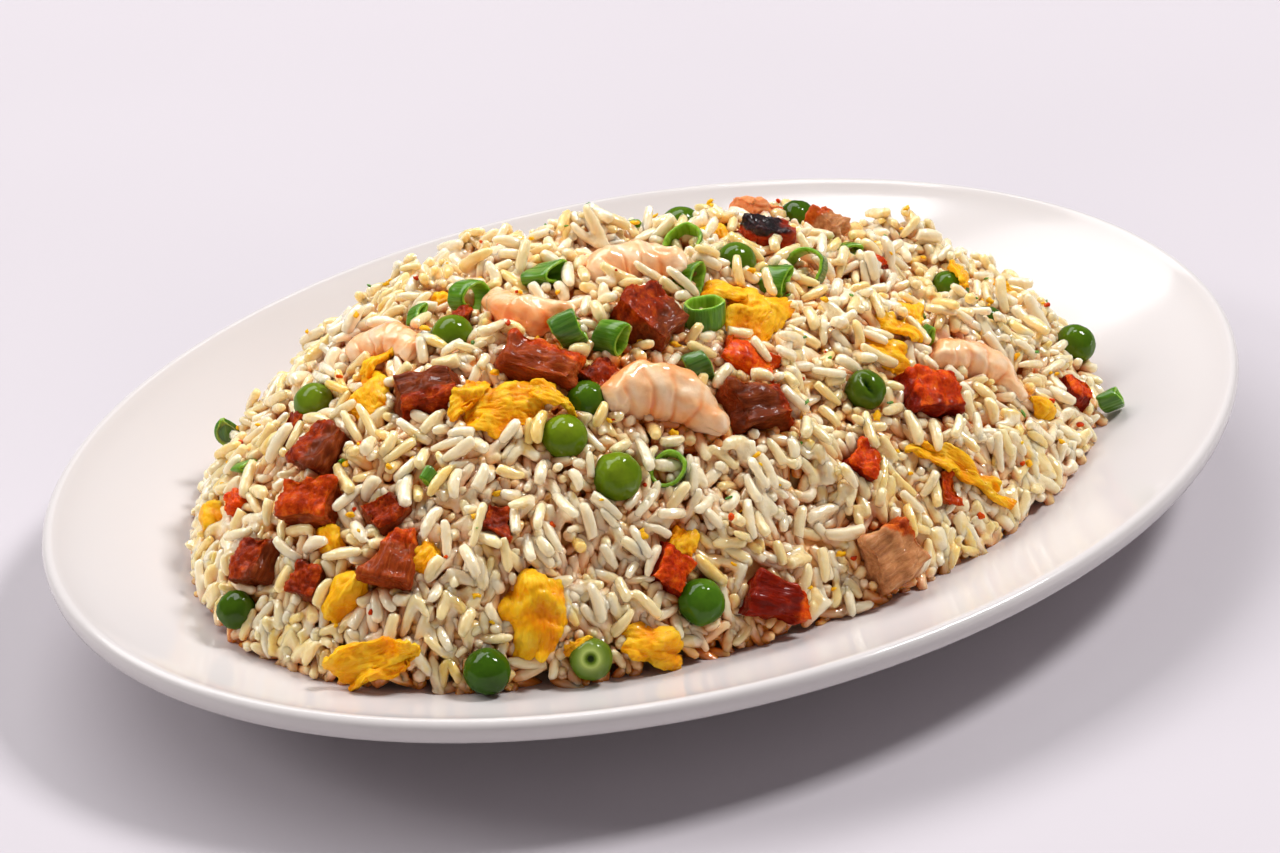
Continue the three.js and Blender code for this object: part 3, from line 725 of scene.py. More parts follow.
for i, (x, y, length, width, thickness, fold, lift, turn, curl) in enumerate(EGG + SMALL_EGG, 1):
    draw = random.Random(300 + i)
    columns, rows = EGG_GRID if i <= len(EGG) else SMALL_EGG_GRID
    grid = {"x_subdivisions": columns, "y_subdivisions": rows, "size": 2}
    flake = add(bpy.ops.mesh.primitive_grid_add, f"egg_scrap_{i:02d}", **grid)
    start = Vector((draw.uniform(0, 90), draw.uniform(0, 90), 0))
    twist = draw.uniform(-0.7, 0.7)
    crease_shades = []
    for vertex in flake.data.vertices:
        px, py, _ = vertex.co
        edge = max(abs(px), abs(py))
        turned = math.atan2(py, px)
        way = Vector((math.cos(turned), math.sin(turned), 0))
        torn = 0.45 * uneven(way * 1.4 + start) + 0.16 * uneven(way * 3.7 + start)
        torn += 0.1 * uneven(way * 9 + start)
        ragged = 1 - 0.2 * (px * py) ** 2 + torn * edge**4
        flat = Vector((px * length / 2 * ragged, py * width / 2 * ragged, 0))
        spot = flat + start
        wide = uneven(spot * 0.12)
        crease = 0.5 - abs(uneven(spot * 0.17))
        strand = 0.5 - abs(uneven(Vector((spot.x * 0.22, spot.y * 0.7, 5))))
        level = fold * 1.9 * wide + 2.6 * (crease - 0.35) + 0.5 * strand
        level += 0.4 * thickness * (1 - edge**2) + twist * px * py * width / 3
        level -= 1.6 * edge**4 * (0.4 + uneven(way * 1.1 + start * 2))
        level += curl * py**2
        sway = Vector(mathutils_noise.noise_vector(spot * 0.2 + Vector((0, 0, 9)))) * 1.7
        vertex.co = (flat + Vector((sway.x, sway.y, level))) * MM
        # How low in a fold the corner lies, for the painted shade there
        crease_shades.append(0.5 - (crease + 0.4 * strand))
    carry(flake.data, "crease_shade", crease_shades)
    apply(flake, "SOLIDIFY", thickness=EGG_SHEET * MM, offset=0)
    apply(flake, "SUBSURF", levels=1, render_levels=1)
    for vertex, normal in zip(flake.data.vertices, [v.normal.copy() for v in flake.data.vertices]):
        spot = vertex.co / MM + start
        threads = 0.5 - abs(uneven(Vector((spot.x * 0.4, spot.y * 1.5, spot.z * 1.5))))
        bubbly = uneven(spot * 0.8) * 0.25 + 0.45 * (threads - 0.35)
        vertex.co += normal * bubbly * MM
    settle(flake, seat(x, y, lift, turn), egg_curd, f"egg_{i:02d}" if i <= len(EGG) else None)

# ---- Spring onion ----
# Spring onion leaf, cut across into short tubes and dropped in at the end, still fresh:
# a thin wall, ribbed lengthwise and dark outside, pale and moist inside.

LEAF_WALL = 0.85
LEAF_SKEW = 0.12
LEAF_WAVES = 1.6
LEAF_WAVE_SIZE = 6
LEAF_TIP = 0.94

leaf_outside = food_material(
    "onion_leaf_outside", 0.5, (0.5, 1.0, 0.12), 0.0014, shine=0.25, wet=0.35, smear=0.06
)
ribs = noise(leaf_outside, drawn_out(leaf_outside, (1, 1, 0.04)), 1050, 3, 0.6)
feed(
    leaf_outside,
    Base_Color=blend(
        leaf_outside,
        ramp(leaf_outside, noise(leaf_outside, places(leaf_outside), 60, 2), (0.4, 0), (0.6, 1)),
        ramp(leaf_outside, ribs, (0.3, 54, 96, 28), (0.55, 76, 118, 42), (0.8, 108, 144, 70)),
        ramp(leaf_outside, ribs, (0.3, 64, 112, 6), (0.55, 90, 138, 12), (0.8, 122, 162, 34)),
    ),
    Roughness=ramp(leaf_outside, ribs, (0.3, 0.2), (0.7, 0.36)),
    Normal=bump(leaf_outside, ribs, 0.0004, 0.6),
)
leaf_inside = food_material(
    "onion_leaf_inside", 0.7, (0.7, 1.0, 0.15), 0.002, shine=0.25, wet=0.3, smear=0.08
)
ribs = noise(leaf_inside, drawn_out(leaf_inside, (1, 1, 0.06)), 900, 3, 0.6)
feed(
    leaf_inside,
    Base_Color=ramp(leaf_inside, ribs, (0.3, 98, 142, 20), (0.55, 128, 166, 40), (0.8, 162, 192, 76)),
    Roughness=ramp(leaf_inside, ribs, (0.3, 0.22), (0.7, 0.4)),
    Normal=bump(leaf_inside, ribs, 0.0003, 0.5),
)
waves = bpy.data.textures.new("leaf_waves", "CLOUDS")
waves.noise_scale = LEAF_WAVE_SIZE * MM
waves.cloud_type = "COLOR"

# x, y, diameter, length of the slice, press, lift, turn, compass and rise of the leaf's axis
ONION = (
    (-25, 5, 8.4, 6, 0.5, 2.2, 20, -60, 20), (-40, 8, 8, 4.5, 0.85, 2.4, 0, -70, 15),
    (6, 21, 8.4, 4.5, 0.55, 1.6, 10, -40, 20), (9, 7, 8.6, 3.6, 0.85, 1.6, 0, -140, 62),
    (-1, -7, 7.6, 5, 0.6, 1.6, 60, -60, 30), (-5, -17, 8.4, 5, 0.85, 2.4, 20, 54, 76),
    (-28, -18, 6.4, 7, 0.5, 3.2, 70, -80, 10), (-34, -14, 8, 5, 0.7, 3.4, 0, -20, 20),
    (16, -12, 7.6, 6, 0.5, 1.8, 60, -60, 10), (26, -9, 9.2, 4, 0.85, 1.8, 0, -150, 40),
    (80, -41, 6.4, 4.5, 0.6, 3.8, 0, -30, 20),
)
LEAF_TIP_AT_LEFT = (-75, 40, 5.4, 6.4, 0.24, 2.6, -36, 144, 80)
SMALL_ONION = (
    (41, -2, 9, 4.5, 0.4, 1, 0, -100, 20), (-14, -27, 7, 5, 0.7, 1.4, 0, -10, 10),
    (-31, -41, 7, 3, 0.9, 1, 0, -126, 45), LEAF_TIP_AT_LEFT,
    (58, 34, 7, 4, 0.7, 1, 0, 60, 50), (6, 44, 7.4, 4.5, 0.8, 0.6, 0, 70, 60),
    (-49, 12, 5, 3, 0.4, 2.6, 40, -60, 30), (-85, 17, 5, 3.4, 0.4, 1.2, 0, -80, 30),
    (-70, -23, 4, 2.6, 0.5, 1.4, 0, 20, 20), (41, -29, 5, 3, 0.4, 1.6, 60, -100, 20),
)

for i, slice_row in enumerate(ONION + SMALL_ONION, 1):
    x, y, diameter, slice_length, press, lift, turn, compass, rise = slice_row
    leaf = add(
        bpy.ops.mesh.primitive_cylinder_add,
        f"onion_leaf_{i:02d}",
        vertices=36,
        radius=diameter / 2 * MM,
        depth=slice_length * MM,
        end_fill_type="NOTHING",
    )
    edit(
        leaf,
        (bpy.ops.mesh.subdivide, {"number_cuts": 3}),
        (bpy.ops.transform.resize, {"value": (1, press, 1)}),
        (bpy.ops.mesh.normals_make_consistent, {}),
    )
    for vertex in leaf.data.vertices:
        share = vertex.co.z / (slice_length / 2 * MM)
        closed = (1 - LEAF_TIP * share**2) ** 0.5 if slice_row is LEAF_TIP_AT_LEFT else 1
        vertex.co.x *= closed
        vertex.co.y *= closed
        vertex.co.z += LEAF_SKEW * vertex.co.x
    where = seat(x, y, lift, turn, facing(compass, rise))
    leaf.data.transform(where)
    wavy = {"texture": waves, "texture_coords": "LOCAL", "direction": "RGB_TO_XYZ"}
    apply(leaf, "DISPLACE", **wavy, strength=LEAF_WAVES * MM, mid_level=0.5)
    leaf.data.materials.append(leaf_outside)
    leaf.data.materials.append(leaf_inside)
    apply(leaf, "SOLIDIFY", thickness=LEAF_WALL * MM, offset=-1, material_offset=1, material_offset_rim=1)
    apply(leaf, "SUBSURF", levels=1, render_levels=1)
    leaf.data.transform(where.inverted())
    settle(leaf, where, leaf_outside, f"onion_{i:02d}" if i <= len(ONION) else None)

# ---- Grains of rice ----
# Long-grain rice, boiled and then fried in oil: soft slender grains, some whole and some
# broken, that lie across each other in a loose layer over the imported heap.

CELL = 0.5
REACH_X = 124
REACH_Y = 88
MARGIN = 8
TOP_Z = 72
GRAIN_FORMS = 20
BROKEN_FORMS = 6
GRAIN_LIMIT = 9800
LAY_TRIES = 52000
STAND_TRIES = 16000
LOOSE_TRIES = 8000
LOOSE_GRAINS = 800
HIGHEST_LOOSE = 64
LUMP_WAVES = 26
LUMP_HEIGHT = 0.72
BANK = 1.1
BANK_TOP = 60
SINK = 0.3
UNKNOWN = -99

rng = np.random.default_rng(20)


def corners_of(mesh):
    return np.array([v.co for v in mesh.vertices])


def grain_forms():
    """Unit grains, modelled once each: a ball drawn out along X, blunt at both ends, and bent."""
    forms = []
    lengthwise = {"value": math.pi / 2, "orient_axis": "Y", "center_override": (0, 0, 0)}
    for i in range(GRAIN_FORMS):
        grain = add(bpy.ops.mesh.primitive_uv_sphere_add, "grain_form", segments=7, ring_count=6, radius=1)
        edit(grain, (bpy.ops.transform.rotate, lengthwise))
        corners = corners_of(grain.data)
        along = np.clip(corners[:, 0], -1, 1)
        ring = np.sqrt(np.maximum(1 - along**2, 0))
        fuller = 1 + 0.17 * rng.uniform(-1, 1) * along
        blunt = np.where(ring > 0.01, np.maximum(ring, 0.01) ** (rng.uniform(0.3, 0.64) - 1), 0) * fuller
        bend = rng.uniform(-0.34, 0.34)
        if i < BROKEN_FORMS:
            corners[:, 0] = np.minimum(corners[:, 0], rng.uniform(0.35, 0.75) + 0.12 * corners[:, 1])
        corners[:, 1] = corners[:, 1] * blunt + bend * (1 - along**2) * 1.6
        corners[:, 2] = corners[:, 2] * blunt + 0.2 * rng.uniform(-1, 1) * (1 - along**2)
        corners[:, 1:] *= 1 + 0.07 * rng.uniform(-1, 1, (len(corners), 2))
        forms.append((corners, [tuple(p.vertices) for p in grain.data.polygons]))
        bpy.data.meshes.remove(grain.data)
    return forms


forms = grain_forms()
x_cells = np.arange(-REACH_X, REACH_X, CELL)
y_cells = np.arange(-REACH_Y, REACH_Y, CELL)
X, Y = np.meshgrid(x_cells, y_cells, indexing="ij")
share_map = heap_share(X, Y)


def cell_of(x, y):
    return int((x + REACH_X) / CELL + 0.5), int((y + REACH_Y) / CELL + 0.5)


def cells_of(x, y):
    return ((x + REACH_X) / CELL + 0.5).astype(int), ((y + REACH_Y) / CELL + 0.5).astype(int)


def hit_below(tree, i, j, level):
    """The height of the first surface below a level, straight over a cell."""
    spot = tree.ray_cast(Vector((x_cells[i], y_cells[j], level)) * MM, Vector((0, 0, -1)))[0]
    return spot.z / MM if spot else None


# The room that the toppings take: which cells of the heap are inside one, and their lowest
# and highest surface seen from straight above
taken = np.zeros((len(x_cells), len(y_cells), int(TOP_Z / CELL)), bool)
covered = np.full_like(X, UNKNOWN)
beneath = np.full_like(X, -UNKNOWN)
for piece in toppings:
    tree = BVHTree.FromObject(piece, bpy.context.evaluated_depsgraph_get())
    corners = corners_of(piece.data) / MM
    low, high = corners.min(0), corners.max(0)
    i0, j0 = cell_of(low[0] - CELL, low[1] - CELL)
    i1, j1 = cell_of(high[0] + CELL, high[1] + CELL)
    for i, j in product(range(i0, i1 + 1), range(j0, j1 + 1)):
        level = high[2] + 1
        for _ in range(4):
            entry = hit_below(tree, i, j, level)
            leave = hit_below(tree, i, j, entry - 0.02) if entry is not None else None
            if leave is None:
                break
            taken[i, j, int(max(leave, 0) / CELL + 0.5) : int(entry / CELL + 0.5)] = True
            covered[i, j] = max(covered[i, j], entry)
            beneath[i, j] = min(beneath[i, j], leave)
            level = leave - 0.02
is_topping = covered > UNKNOWN + 9


def blurred(grid, reach):
    """The mean of a grid over a square of cells round each one."""
    for axis in (0, 1):
        edges = [(reach + 1, reach) if a == axis else (0, 0) for a in (0, 1)]
        total = np.cumsum(np.pad(grid, edges, "edge"), axis)
        length = grid.shape[axis]
        ahead = total.take(range(2 * reach + 1, 2 * reach + 1 + length), axis)
        grid = (ahead - total.take(range(length), axis)) / (2 * reach + 1)
    return grid


# The heap is uneven: clumps of grains stand out by a few millimetres, with hollows between,
# and rice banks up round the toppings
lumps = np.zeros_like(X)
for _ in range(LUMP_WAVES):
    angle = rng.uniform(0, math.tau)
    length = rng.uniform(9, 30)
    lumps += (length / 20) ** 0.5 * np.sin(
        (X * math.cos(angle) + Y * math.sin(angle)) * math.tau / length + rng.uniform(0, math.tau)
    )
lumps = np.where(lumps < 0, 3 * np.tanh(lumps / 3), lumps)
near_topping = np.clip(3 * blurred(is_topping * 1.0, 7), 0, 1)
lumps *= LUMP_HEIGHT * np.clip((1 - share_map) * 7, 0.1, 1) * (1 - 0.8 * near_topping)
banked = BANK * near_topping * np.clip((1 - share_map) * 7, 0, 1)
banked *= np.clip((BANK_TOP - heap_top(X, Y)) / 6, 0, 1)
target = np.where(share_map < 1, heap_top(X, Y) + lumps + banked, UNKNOWN)
room_below = np.where(is_topping, np.minimum(target, beneath + 1.0), target)
over_core = np.where(heap_share(X, Y, CORE_INSET) < 1, core_top(X, Y, share_map) + 0.6, UNKNOWN)
height = np.maximum(platter_top(X, Y), over_core)


def grain_axes(yaw, slope, roll):
    """The grain's own length, width and thickness directions."""
    along = np.array([math.cos(yaw), math.sin(yaw), slope])
    along /= np.linalg.norm(along)
    level = np.array([-math.sin(yaw), math.cos(yaw), 0.0])
    up = np.cross(along, level)
    across = math.cos(roll) * level + math.sin(roll) * up
    return np.array([along, across, np.cross(along, across)])


def rest_grain(cx, cy, yaws, half, wide, thick):
    """How a grain would lie on the heap at each of some turns: its height and its slope."""
    steps = np.linspace(-0.86, 0.86, 9)
    s = steps * half
    flare = np.sqrt(1 - steps**2 * 0.85)
    ux, uy = np.cos(yaws)[:, None, None], np.sin(yaws)[:, None, None]
    d = np.array([-0.7, 0.0, 0.7])[None, None, :] * (wide * flare)[None, :, None]
    along = s[None, :, None]
    under = height[cells_of(cx + along * ux - d * uy, cy + along * uy + d * ux)]
    under = under + thick * flare[None, :, None] * np.array([0.6, 1.0, 0.6])
    c = 0.65 * under.max(2) + 0.35 * under.mean(2)
    cl, cr = c[:, :4, None], c[:, None, 5:]
    sl, sr = s[:4][None, :, None], s[5:][None, None, :]
    lines = (cl * sr - cr * sl) / (sr - sl)
    slopes = (cr - cl) / (sr - sl)
    flat = lines.reshape(len(yaws), -1)
    best = flat.argmax(1)
    turns = np.arange(len(yaws))
    middle = flat[turns, best]
    slope = slopes.reshape(len(yaws), -1)[turns, best]
    over = c[:, 4] > middle
    fall = ((c[:, 5:] - c[:, 4:5]) / s[5:]).max(1)
    return np.where(over, c[:, 4], middle), np.where(over, fall, slope)


AXIS_SHARES = np.linspace(-0.95, 0.95, 13)


def is_free(cx, cy, middle, axes, half):
    """Whether the grain's own axis stays out of the toppings."""
    points = np.array([cx, cy, middle]) + np.outer(AXIS_SHARES * half, axes[0])
    i, j = cells_of(points[:, 0], points[:, 1])
    k = np.clip(points[:, 2] / CELL, 0, taken.shape[2] - 1).astype(int)
    return not taken[i, j, k].any()


def raise_heap(cx, cy, middle, axes, half, wide, thick):
    """The heap's height map with a grain added to it."""
    reach = max(half * math.hypot(axes[0, 0], axes[0, 1]), wide) + wide
    i0, i1 = int((cx - reach + REACH_X) / CELL), int((cx + reach + REACH_X) / CELL) + 2
    j0, j1 = int((cy - reach + REACH_Y) / CELL), int((cy + reach + REACH_Y) / CELL) + 2
    dx, dy = X[i0:i1, j0:j1] - cx, Y[i0:i1, j0:j1] - cy
    form = axes.T @ np.diag([1 / half**2, 1 / wide**2, 1 / thick**2]) @ axes
    b = form[0, 2] * dx + form[1, 2] * dy
    c = form[0, 0] * dx**2 + 2 * form[0, 1] * dx * dy + form[1, 1] * dy**2 - 1
    room = b**2 - form[2, 2] * c
    inside = room > 0
    top = middle + (np.sqrt(np.maximum(room, 0)) - b) / form[2, 2]
    window = height[i0:i1, j0:j1]
    window[inside] = np.maximum(window[inside], top[inside])


def grain_size():
    half = rng.triangular(1.9, 3.6, 4.8)
    wide = rng.uniform(1.02, 1.42)
    return half, wide, wide * rng.uniform(0.8, 0.96)


def lay(*grain):
    raise_heap(*grain)
    laid.append(grain)


# x, y, radius and direction of the clumps where grains are stuck together side by side
CLUMPS = (
    (-12, -43, 4.5, 60), (-14, -49, 4, 100), (-26, -45, 4, 20), (-65, -28, 4, -10), (-38, -46, 4, 50),
    (-96, 3, 4, 80), (-44, -50, 3.6, -30), (31, -17, 5, 10), (44, -12, 4.5, 70), (71, -22, 4.5, -40),
    (58, -52, 4, 30), (-88, -33, 3, 70), (-58, 24, 5, 0), (-75, -27, 3.6, 40), (-57, -44, 3.4, 90),
    (-4, -56, 3.6, -20), (-49, -42, 3.4, 10), (-53, -32, 4, 60), (38, -50, 4, -60), (-66, 18, 4.5, 30),
    (-29, 29, 5, 80), (-8, 14, 4.5, -30), (34, 34, 5, 40), (60, 6, 5, 0), (12, 40, 5, 70), (-50, 44, 5, 20),
    (-10, 46, 5, -50), (84, 20, 4, 60),
)


def clump_of(x, y):
    near = [way for cx, cy, radius, way in CLUMPS if math.hypot(x - cx, y - cy) < radius]
    return near[0] if near else None


# Grains that lie on those below, many beside and along their neighbour
laid = []
follow = None
for attempt in range(LAY_TRIES):
    if attempt % 150 == 0:
        open_cells = np.argwhere((room_below - height > 0.8) & (share_map < 0.985))
    if len(open_cells) < 60 or len(laid) >= GRAIN_LIMIT:
        break
    half, wide, thick = grain_size()
    if follow and rng.random() < 0.5:
        fx, fy, fyaw = follow
        side = rng.choice([-1, 1]) * rng.uniform(1.7, 2.5)
        slide = rng.uniform(-2.5, 2.5)
        cx = fx - side * math.sin(fyaw) + slide * math.cos(fyaw)
        cy = fy + side * math.cos(fyaw) + slide * math.sin(fyaw)
        yaws = fyaw + rng.normal(0, 0.3, 2)
    else:
        i, j = open_cells[rng.integers(len(open_cells))]
        cx, cy = x_cells[i] + rng.uniform(-0.25, 0.25), y_cells[j] + rng.uniform(-0.25, 0.25)
        yaws = rng.uniform(0, math.tau, 3)
    follow = None
    if heap_share(cx, cy) > 0.995:
        continue
    if clump_of(cx, cy) is not None:
        yaws = math.radians(clump_of(cx, cy)) + rng.normal(0, 0.25, 2)
    middles, slopes = rest_grain(cx, cy, yaws, half, wide, thick)
    pick = int(np.argmin(middles))
    middle, slope, yaw = float(middles[pick]), float(slopes[pick]), float(yaws[pick])
    if middle > room_below[cell_of(cx, cy)] + 0.3:
        continue
    slope = max(-1.8, min(1.8, slope)) + float(rng.normal(0, 0.3))
    axes = grain_axes(yaw, slope, float(rng.normal(0, 0.5)))
    middle -= SINK
    if is_free(cx, cy, middle, axes, half):
        lay(cx, cy, middle, axes, half, wide, thick)
        follow = (cx, cy, yaw)

# Grains that stand or lean in the gaps between those that lie, the last of them broken short
for attempt in range(STAND_TRIES):
    if attempt % 100 == 0:
        open_cells = np.argwhere((room_below - height > 1.1) & (share_map < 0.985))
    if len(open_cells) < 40 or len(laid) >= GRAIN_LIMIT:
        break
    half, wide, thick = grain_size()
    half *= 1 if attempt + 1 < STAND_TRIES * 0.6 else 0.5
    i, j = open_cells[rng.integers(len(open_cells))]
    cx, cy = x_cells[i], y_cells[j]
    slope = float(rng.choice([-1, 1]) * rng.uniform(0.3, 2.6))
    axes = grain_axes(rng.uniform(0, math.tau), slope, float(rng.uniform(0, math.tau)))
    middle = height[i, j] + rng.uniform(-0.4, 0.6)
    tip = np.array([cx, cy, middle]) + axes[0] * half * np.sign(axes[0, 2])
    if tip[2] <= target[cell_of(tip[0], tip[1])] + 1.3 and is_free(cx, cy, middle, axes, half):
        lay(cx, cy, middle, axes, half, wide, thick)
packed = len(laid)

# Loose grains on top, at any slope, some of them over the edge of a topping
height = np.maximum(height, covered)
for _ in range(LOOSE_TRIES):
    if len(laid) - packed >= LOOSE_GRAINS:
        break
    half, wide, thick = grain_size()
    cx = rng.uniform(-REACH_X + MARGIN, REACH_X - MARGIN)
    cy = rng.uniform(-REACH_Y + MARGIN, REACH_Y - MARGIN)
    i, j = cell_of(cx, cy)
    if share_map[i, j] > 0.93 or (is_topping[i, j] and rng.random() > 0.3):
        continue
    yaws = rng.uniform(0, math.tau, 4)
    middles, slopes = rest_grain(cx, cy, yaws, half, wide, thick)
    pick = int(np.argmin(middles))
    middle, slope = float(middles[pick]), float(slopes[pick]) + float(rng.normal(0, 0.35))
    if middle > min(target[i, j] + 2.6, HIGHEST_LOOSE) or abs(slope) > 1.6:
        continue
    axes = grain_axes(float(yaws[pick]), slope, float(rng.uniform(0, math.tau)))
    if is_free(cx, cy, middle - SINK, axes, half):
        lay(cx, cy, middle - SINK, axes, half, wide, thick)
loose = len(laid) - packed
crest = blurred(height, 7)
rise_x, rise_y = np.gradient(blurred(crest, 5), CELL)
steepness = 1 / np.sqrt(1 + rise_x**2 + rise_y**2)

cooked_rice = food_material("cooked_rice", 1.0, (0.9, 0.94, 1.0), 0.002, shine=0.12, wet=1.0, smear=0.07)
at = places(cooked_rice)
tone = carried(cooked_rice, "grain_tone")
mottled = maths(cooked_rice, "MULTIPLY_ADD", noise(cooked_rice, at, 420, 3), 0.35, tone)
pearly = ramp(
    cooked_rice,
    mottled,
    (0.17, 250, 199, 100),
    (0.28, 251, 209, 132),
    (0.5, 252, 216, 154),
    (0.8, 252, 222, 171),
    (1.0, 252, 227, 190),
)
# Deep in the heap and on sides that face down, the grains are painted darker orange brown: partly the oil that
# gathers low, partly painted shade in the crevices and undersides
painted_crevice_shade = ramp(cooked_rice, carried(cooked_rice, "grain_depth_shade"), (0.05, 0), (1.0, 0.95))
feed(
    cooked_rice,
    Base_Color=blend(cooked_rice, painted_crevice_shade, pearly, linear(228, 124, 18)),
    Roughness=ramp(cooked_rice, noise(cooked_rice, at, 800, 2), (0.35, 0.2), (0.65, 0.4)),
    Normal=bump(cooked_rice, noise(cooked_rice, at, 1000, 3), 0.0003, 0.7),
    Coat_Normal=bump(cooked_rice, noise(cooked_rice, at, 480, 2), 0.0008, 0.8),
    Coat_IOR=1.85,
)

SKIN_DETAIL = 0.42
SKIN_TEARS = 0.35
TEAR_SIZE = 1.3
GRAIN_SETS = 5
BELOW_SETS = 3
SET_TRIANGLES = 104000
SEEN_DEPTH = 2.6
starch = bpy.data.textures.new("torn_starch", "CLOUDS")
starch.noise_scale = TEAR_SIZE * MM


def depth_below(corners):
    """How far some points are inside the heap, square to its surface."""
    cells = cells_of(corners[:, 0], corners[:, 1])
    return (crest[cells] - corners[:, 2]) * steepness[cells]


grain_tones = rng.uniform(0, 1, len(laid)) ** 0.8
along_grains = KDTree(5 * len(laid))
for n, (cx, cy, middle, axes, half, _, _) in enumerate(laid):
    if clump_of(cx, cy) is not None:
        grain_tones[n] = rng.uniform(0.7, 1.0)
    for share in (-0.8, -0.4, 0, 0.4, 0.8):
        along_grains.insert(np.array([cx, cy, middle]) + axes[0] * half * share, n)
along_grains.balance()


def mesh_piece(name, corners, faces, material):
    """A piece of many small things: their corners in millimetres, and their faces."""
    mesh = bpy.data.meshes.new(name)
    mesh.from_pydata(corners * MM, [], faces)
    mesh.materials.append(material)
    piece = bpy.data.objects.new(name, mesh)
    bpy.context.scene.collection.objects.link(piece)
    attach(piece, "root")
    return piece


def grain_mesh(name, grains):
    """Some of the grains as one mesh."""
    all_corners, all_faces, start = [], [], 0
    for cx, cy, middle, axes, half, wide, thick in grains:
        corners, faces = forms[rng.integers(GRAIN_FORMS)]
        flip = rng.choice([-1, 1])
        all_corners.append(
            np.array([cx, cy, middle])
            + np.outer(corners[:, 0] * half * flip, axes[0])
            + np.outer(corners[:, 1] * wide * flip, axes[1])
            + np.outer(corners[:, 2] * thick, axes[2])
        )
        all_faces.extend([tuple(c + start for c in face) for face in faces])
        start += len(corners)
    return mesh_piece(name, np.concatenate(all_corners), all_faces, cooked_rice)


def finish_grains(piece):
    """Marks every corner with the tone of its grain and its painted shade: its depth in the heap, and a little
    more where it faces down.
    """
    corners = corners_of(piece.data) / MM
    turned_up = np.array([v.normal.z for v in piece.data.vertices])
    # Painted shade: darker the deeper a corner lies, and a little darker where it faces down
    depths = np.clip((depth_below(corners) - 0.3) / 2.8 + 0.08 * (0.6 - turned_up), 0, 1)
    carry(piece.data, "grain_tone", [grain_tones[along_grains.find(c)[1]] for c in corners])
    carry(piece.data, "grain_depth_shade", depths)
    piece.data.shade_smooth()


# Cooked grains fuse here and there: those that show are joined to the neighbours of their own
# set and get an uneven skin. The ones further down and half of the loose ones stay whole.
centres = np.array([grain[:3] for grain in laid])
depths = depth_below(centres)
sets = rng.integers(0, GRAIN_SETS, len(laid))
for x, y, radius, _ in CLUMPS:
    stuck = (np.hypot(centres[:, 0] - x, centres[:, 1] - y) < radius) & (depths < 1)
    sets[stuck] = rng.integers(GRAIN_SETS)
sets[packed:] = np.where(rng.random(loose) < 0.5, GRAIN_SETS, sets[packed:])
hidden = np.flatnonzero(depths[:packed] >= SEEN_DEPTH)
sets[hidden] = GRAIN_SETS + 1 + hidden % BELOW_SETS
set_names = [f"rice_grains_{n + 1}" for n in range(GRAIN_SETS)]
set_names += ["rice_grains_loose"] + [f"rice_grains_below_{n + 1}" for n in range(BELOW_SETS)]
for n, name in enumerate(set_names):
    piece = grain_mesh(name, [grain for grain, own in zip(laid, sets) if own == n])
    if n < GRAIN_SETS:
        apply(piece, "REMESH", mode="VOXEL", voxel_size=SKIN_DETAIL * MM)
        thinned = min(SET_TRIANGLES / (2 * len(piece.data.polygons)), 1)
        apply(piece, "SMOOTH", factor=0.5, iterations=2)
        apply(piece, "DISPLACE", texture=starch, strength=SKIN_TEARS * MM, mid_level=0.5)
        apply(piece, "DECIMATE", ratio=thinned)
    finish_grains(piece)
    if n == 0:
        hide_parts("rice")

# ---- Crumbs ----
# Crumbs of egg, of pork and of leaf that came off in the pan. They are a millimetre or two
# across, rough all over, and the oil on the grains holds them.

# name, slot, material, how many, smallest and largest half size, and how long, wide and thick each is
CRUMBS = (
    ("egg_crumbs", "egg", egg_curd, 150, 0.4, 1.1, (1.0, 0.7, 0.5)),
    ("pork_crumbs", "pork", PORK_FINISHES["red"], 60, 0.3, 0.8, (1.0, 0.8, 0.6)),
    ("onion_crumbs", "spring_onion", leaf_outside, 36, 0.4, 0.9, (1.0, 0.6, 0.3)),
)
form = add(bpy.ops.mesh.primitive_ico_sphere_add, "crumb_form", subdivisions=2, radius=1)
form_corners = corners_of(form.data)
form_faces = np.array([tuple(p.vertices) for p in form.data.polygons])
bpy.data.meshes.remove(form.data)
for name, slot, finish, count, smallest, largest, stretch in CRUMBS:
    all_corners, all_faces = [], []
    while len(all_corners) < count:
        cx = rng.uniform(-REACH_X + MARGIN, REACH_X - MARGIN)
        cy = rng.uniform(-REACH_Y + MARGIN, REACH_Y - MARGIN)
        i, j = cell_of(cx, cy)
        if share_map[i, j] > 0.97 or is_topping[i, j]:
            continue
        size = rng.uniform(smallest, largest)
        rough = np.array([uneven(Vector(c) * 1.3 + Vector((cx, cy, 0))) for c in form_corners])
        corners = form_corners * (1 + 0.7 * rough[:, None]) * np.array(stretch) * size
        axes = grain_axes(rng.uniform(0, math.tau), rng.uniform(-0.8, 0.8), rng.uniform(-0.8, 0.8))
        all_faces.append(form_faces + len(all_corners) * len(form_corners))
        all_corners.append(corners @ axes + np.array([cx, cy, height[i, j] + 0.2 * size]))
    corners = np.concatenate(all_corners)
    piece = mesh_piece(name, corners, np.concatenate(all_faces).tolist(), finish)
    own = piece.data.attributes.new("own_place", "FLOAT_VECTOR", "POINT")
    own.data.foreach_set("vector", (corners * MM).ravel())
    carry(piece.data, "crust", [1.0] * len(corners))
    piece.data.shade_smooth()

# ---- Table, light and camera ----
# A plain pale table. Two soft boxes behind the plate make most of the light, a third above it
# only its glints, and two weak ones at the left and in front fill the shadows.

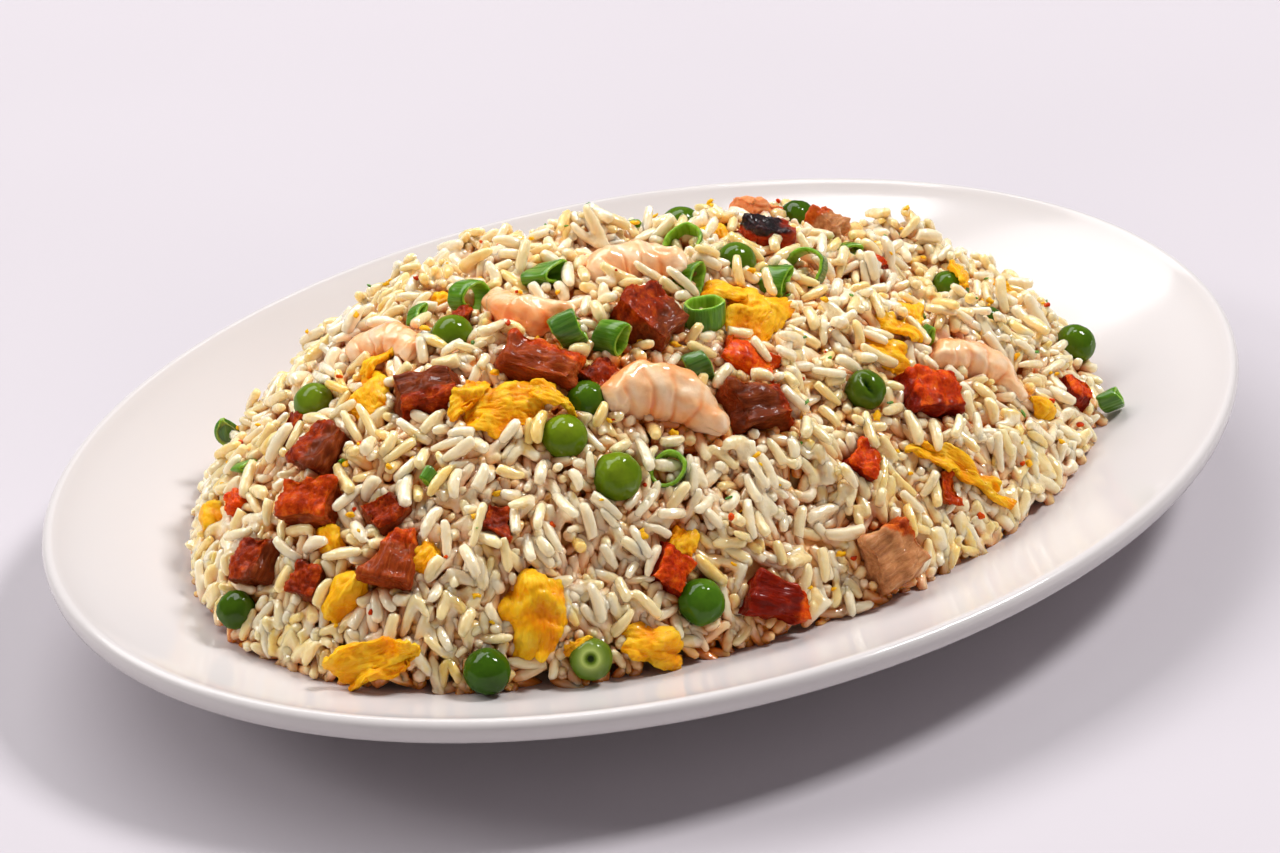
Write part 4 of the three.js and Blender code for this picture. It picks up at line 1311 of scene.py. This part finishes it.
table_top = new_material("pale_table", Roughness=0.6)
at = places(table_top)
feed(
    table_top,
    Base_Color=ramp(table_top, noise(table_top, at, 4, 2), (0.3, 191, 185, 191), (0.7, 196, 190, 196)),
)
table = add(bpy.ops.mesh.primitive_plane_add, "table_top", size=6)
table.data.materials.append(table_top)
table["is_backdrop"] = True

WORLD_POWER = 0.19
TARGET = Vector((-0.0079, -0.0015, 0.024))
FORWARD = Vector((0.590, 0.807, 0))
RIGHT = Vector((0.807, -0.590, 0))
BOX_DISTANCE = 2.5
WHITE = (1, 0.99, 0.985)

world = bpy.data.worlds.new("studio")
world.use_nodes = True
bpy.context.scene.world = world
world.node_tree.nodes["Background"].inputs["Color"].default_value = linear(250, 244, 250)
world.node_tree.nodes["Background"].inputs["Strength"].default_value = WORLD_POWER


def soft_box(name, compass, above, width, depth, power, colour, shines=True, lights=True):
    """A soft box round the plate: compass is its angle from straight behind, towards the right."""
    light = bpy.data.lights.new(name, "AREA")
    light.shape = "RECTANGLE"
    light.size, light.size_y = width, depth
    light.energy = power
    light.color = colour
    lamp = bpy.data.objects.new(name, light)
    bpy.context.scene.collection.objects.link(lamp)
    turn, rise = math.radians(compass), math.radians(above)
    level = FORWARD * math.cos(turn) + RIGHT * math.sin(turn)
    lamp.location = TARGET + (level * math.cos(rise) + Vector((0, 0, math.sin(rise)))) * BOX_DISTANCE
    lamp.rotation_euler = (TARGET - lamp.location).to_track_quat("-Z", "Y").to_euler()
    lamp.visible_camera = False
    lamp.visible_glossy = shines
    lamp.visible_diffuse = lights


soft_box("box_high_behind", -42, 53, 3.0, 0.95, 49, WHITE)
soft_box("box_behind_right", 64, 55, 0.5, 0.6, 50, WHITE)
soft_box("box_left", -90, 31, 0.7, 0.7, 22, (1, 0.985, 0.97), shines=False)
soft_box("box_above", 10, 70, 0.5, 0.5, 10, (1, 1, 1), lights=False)
soft_box("box_front", 175, 16, 1.0, 0.8, 8, (1, 0.94, 0.86), shines=False)

camera_data = bpy.data.cameras.new("camera")
camera_data.sensor_width = 36
camera_data.lens = 91.3
camera = bpy.data.objects.new("camera", camera_data)
bpy.context.scene.collection.objects.link(camera)
camera.location = (-0.3337, -0.4470, 0.3480)
camera.rotation_euler = (TARGET - camera.location).to_track_quat("-Z", "Y").to_euler()
bpy.context.scene.camera = camera
bpy.context.scene.view_settings.view_transform = "Standard"

low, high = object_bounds()
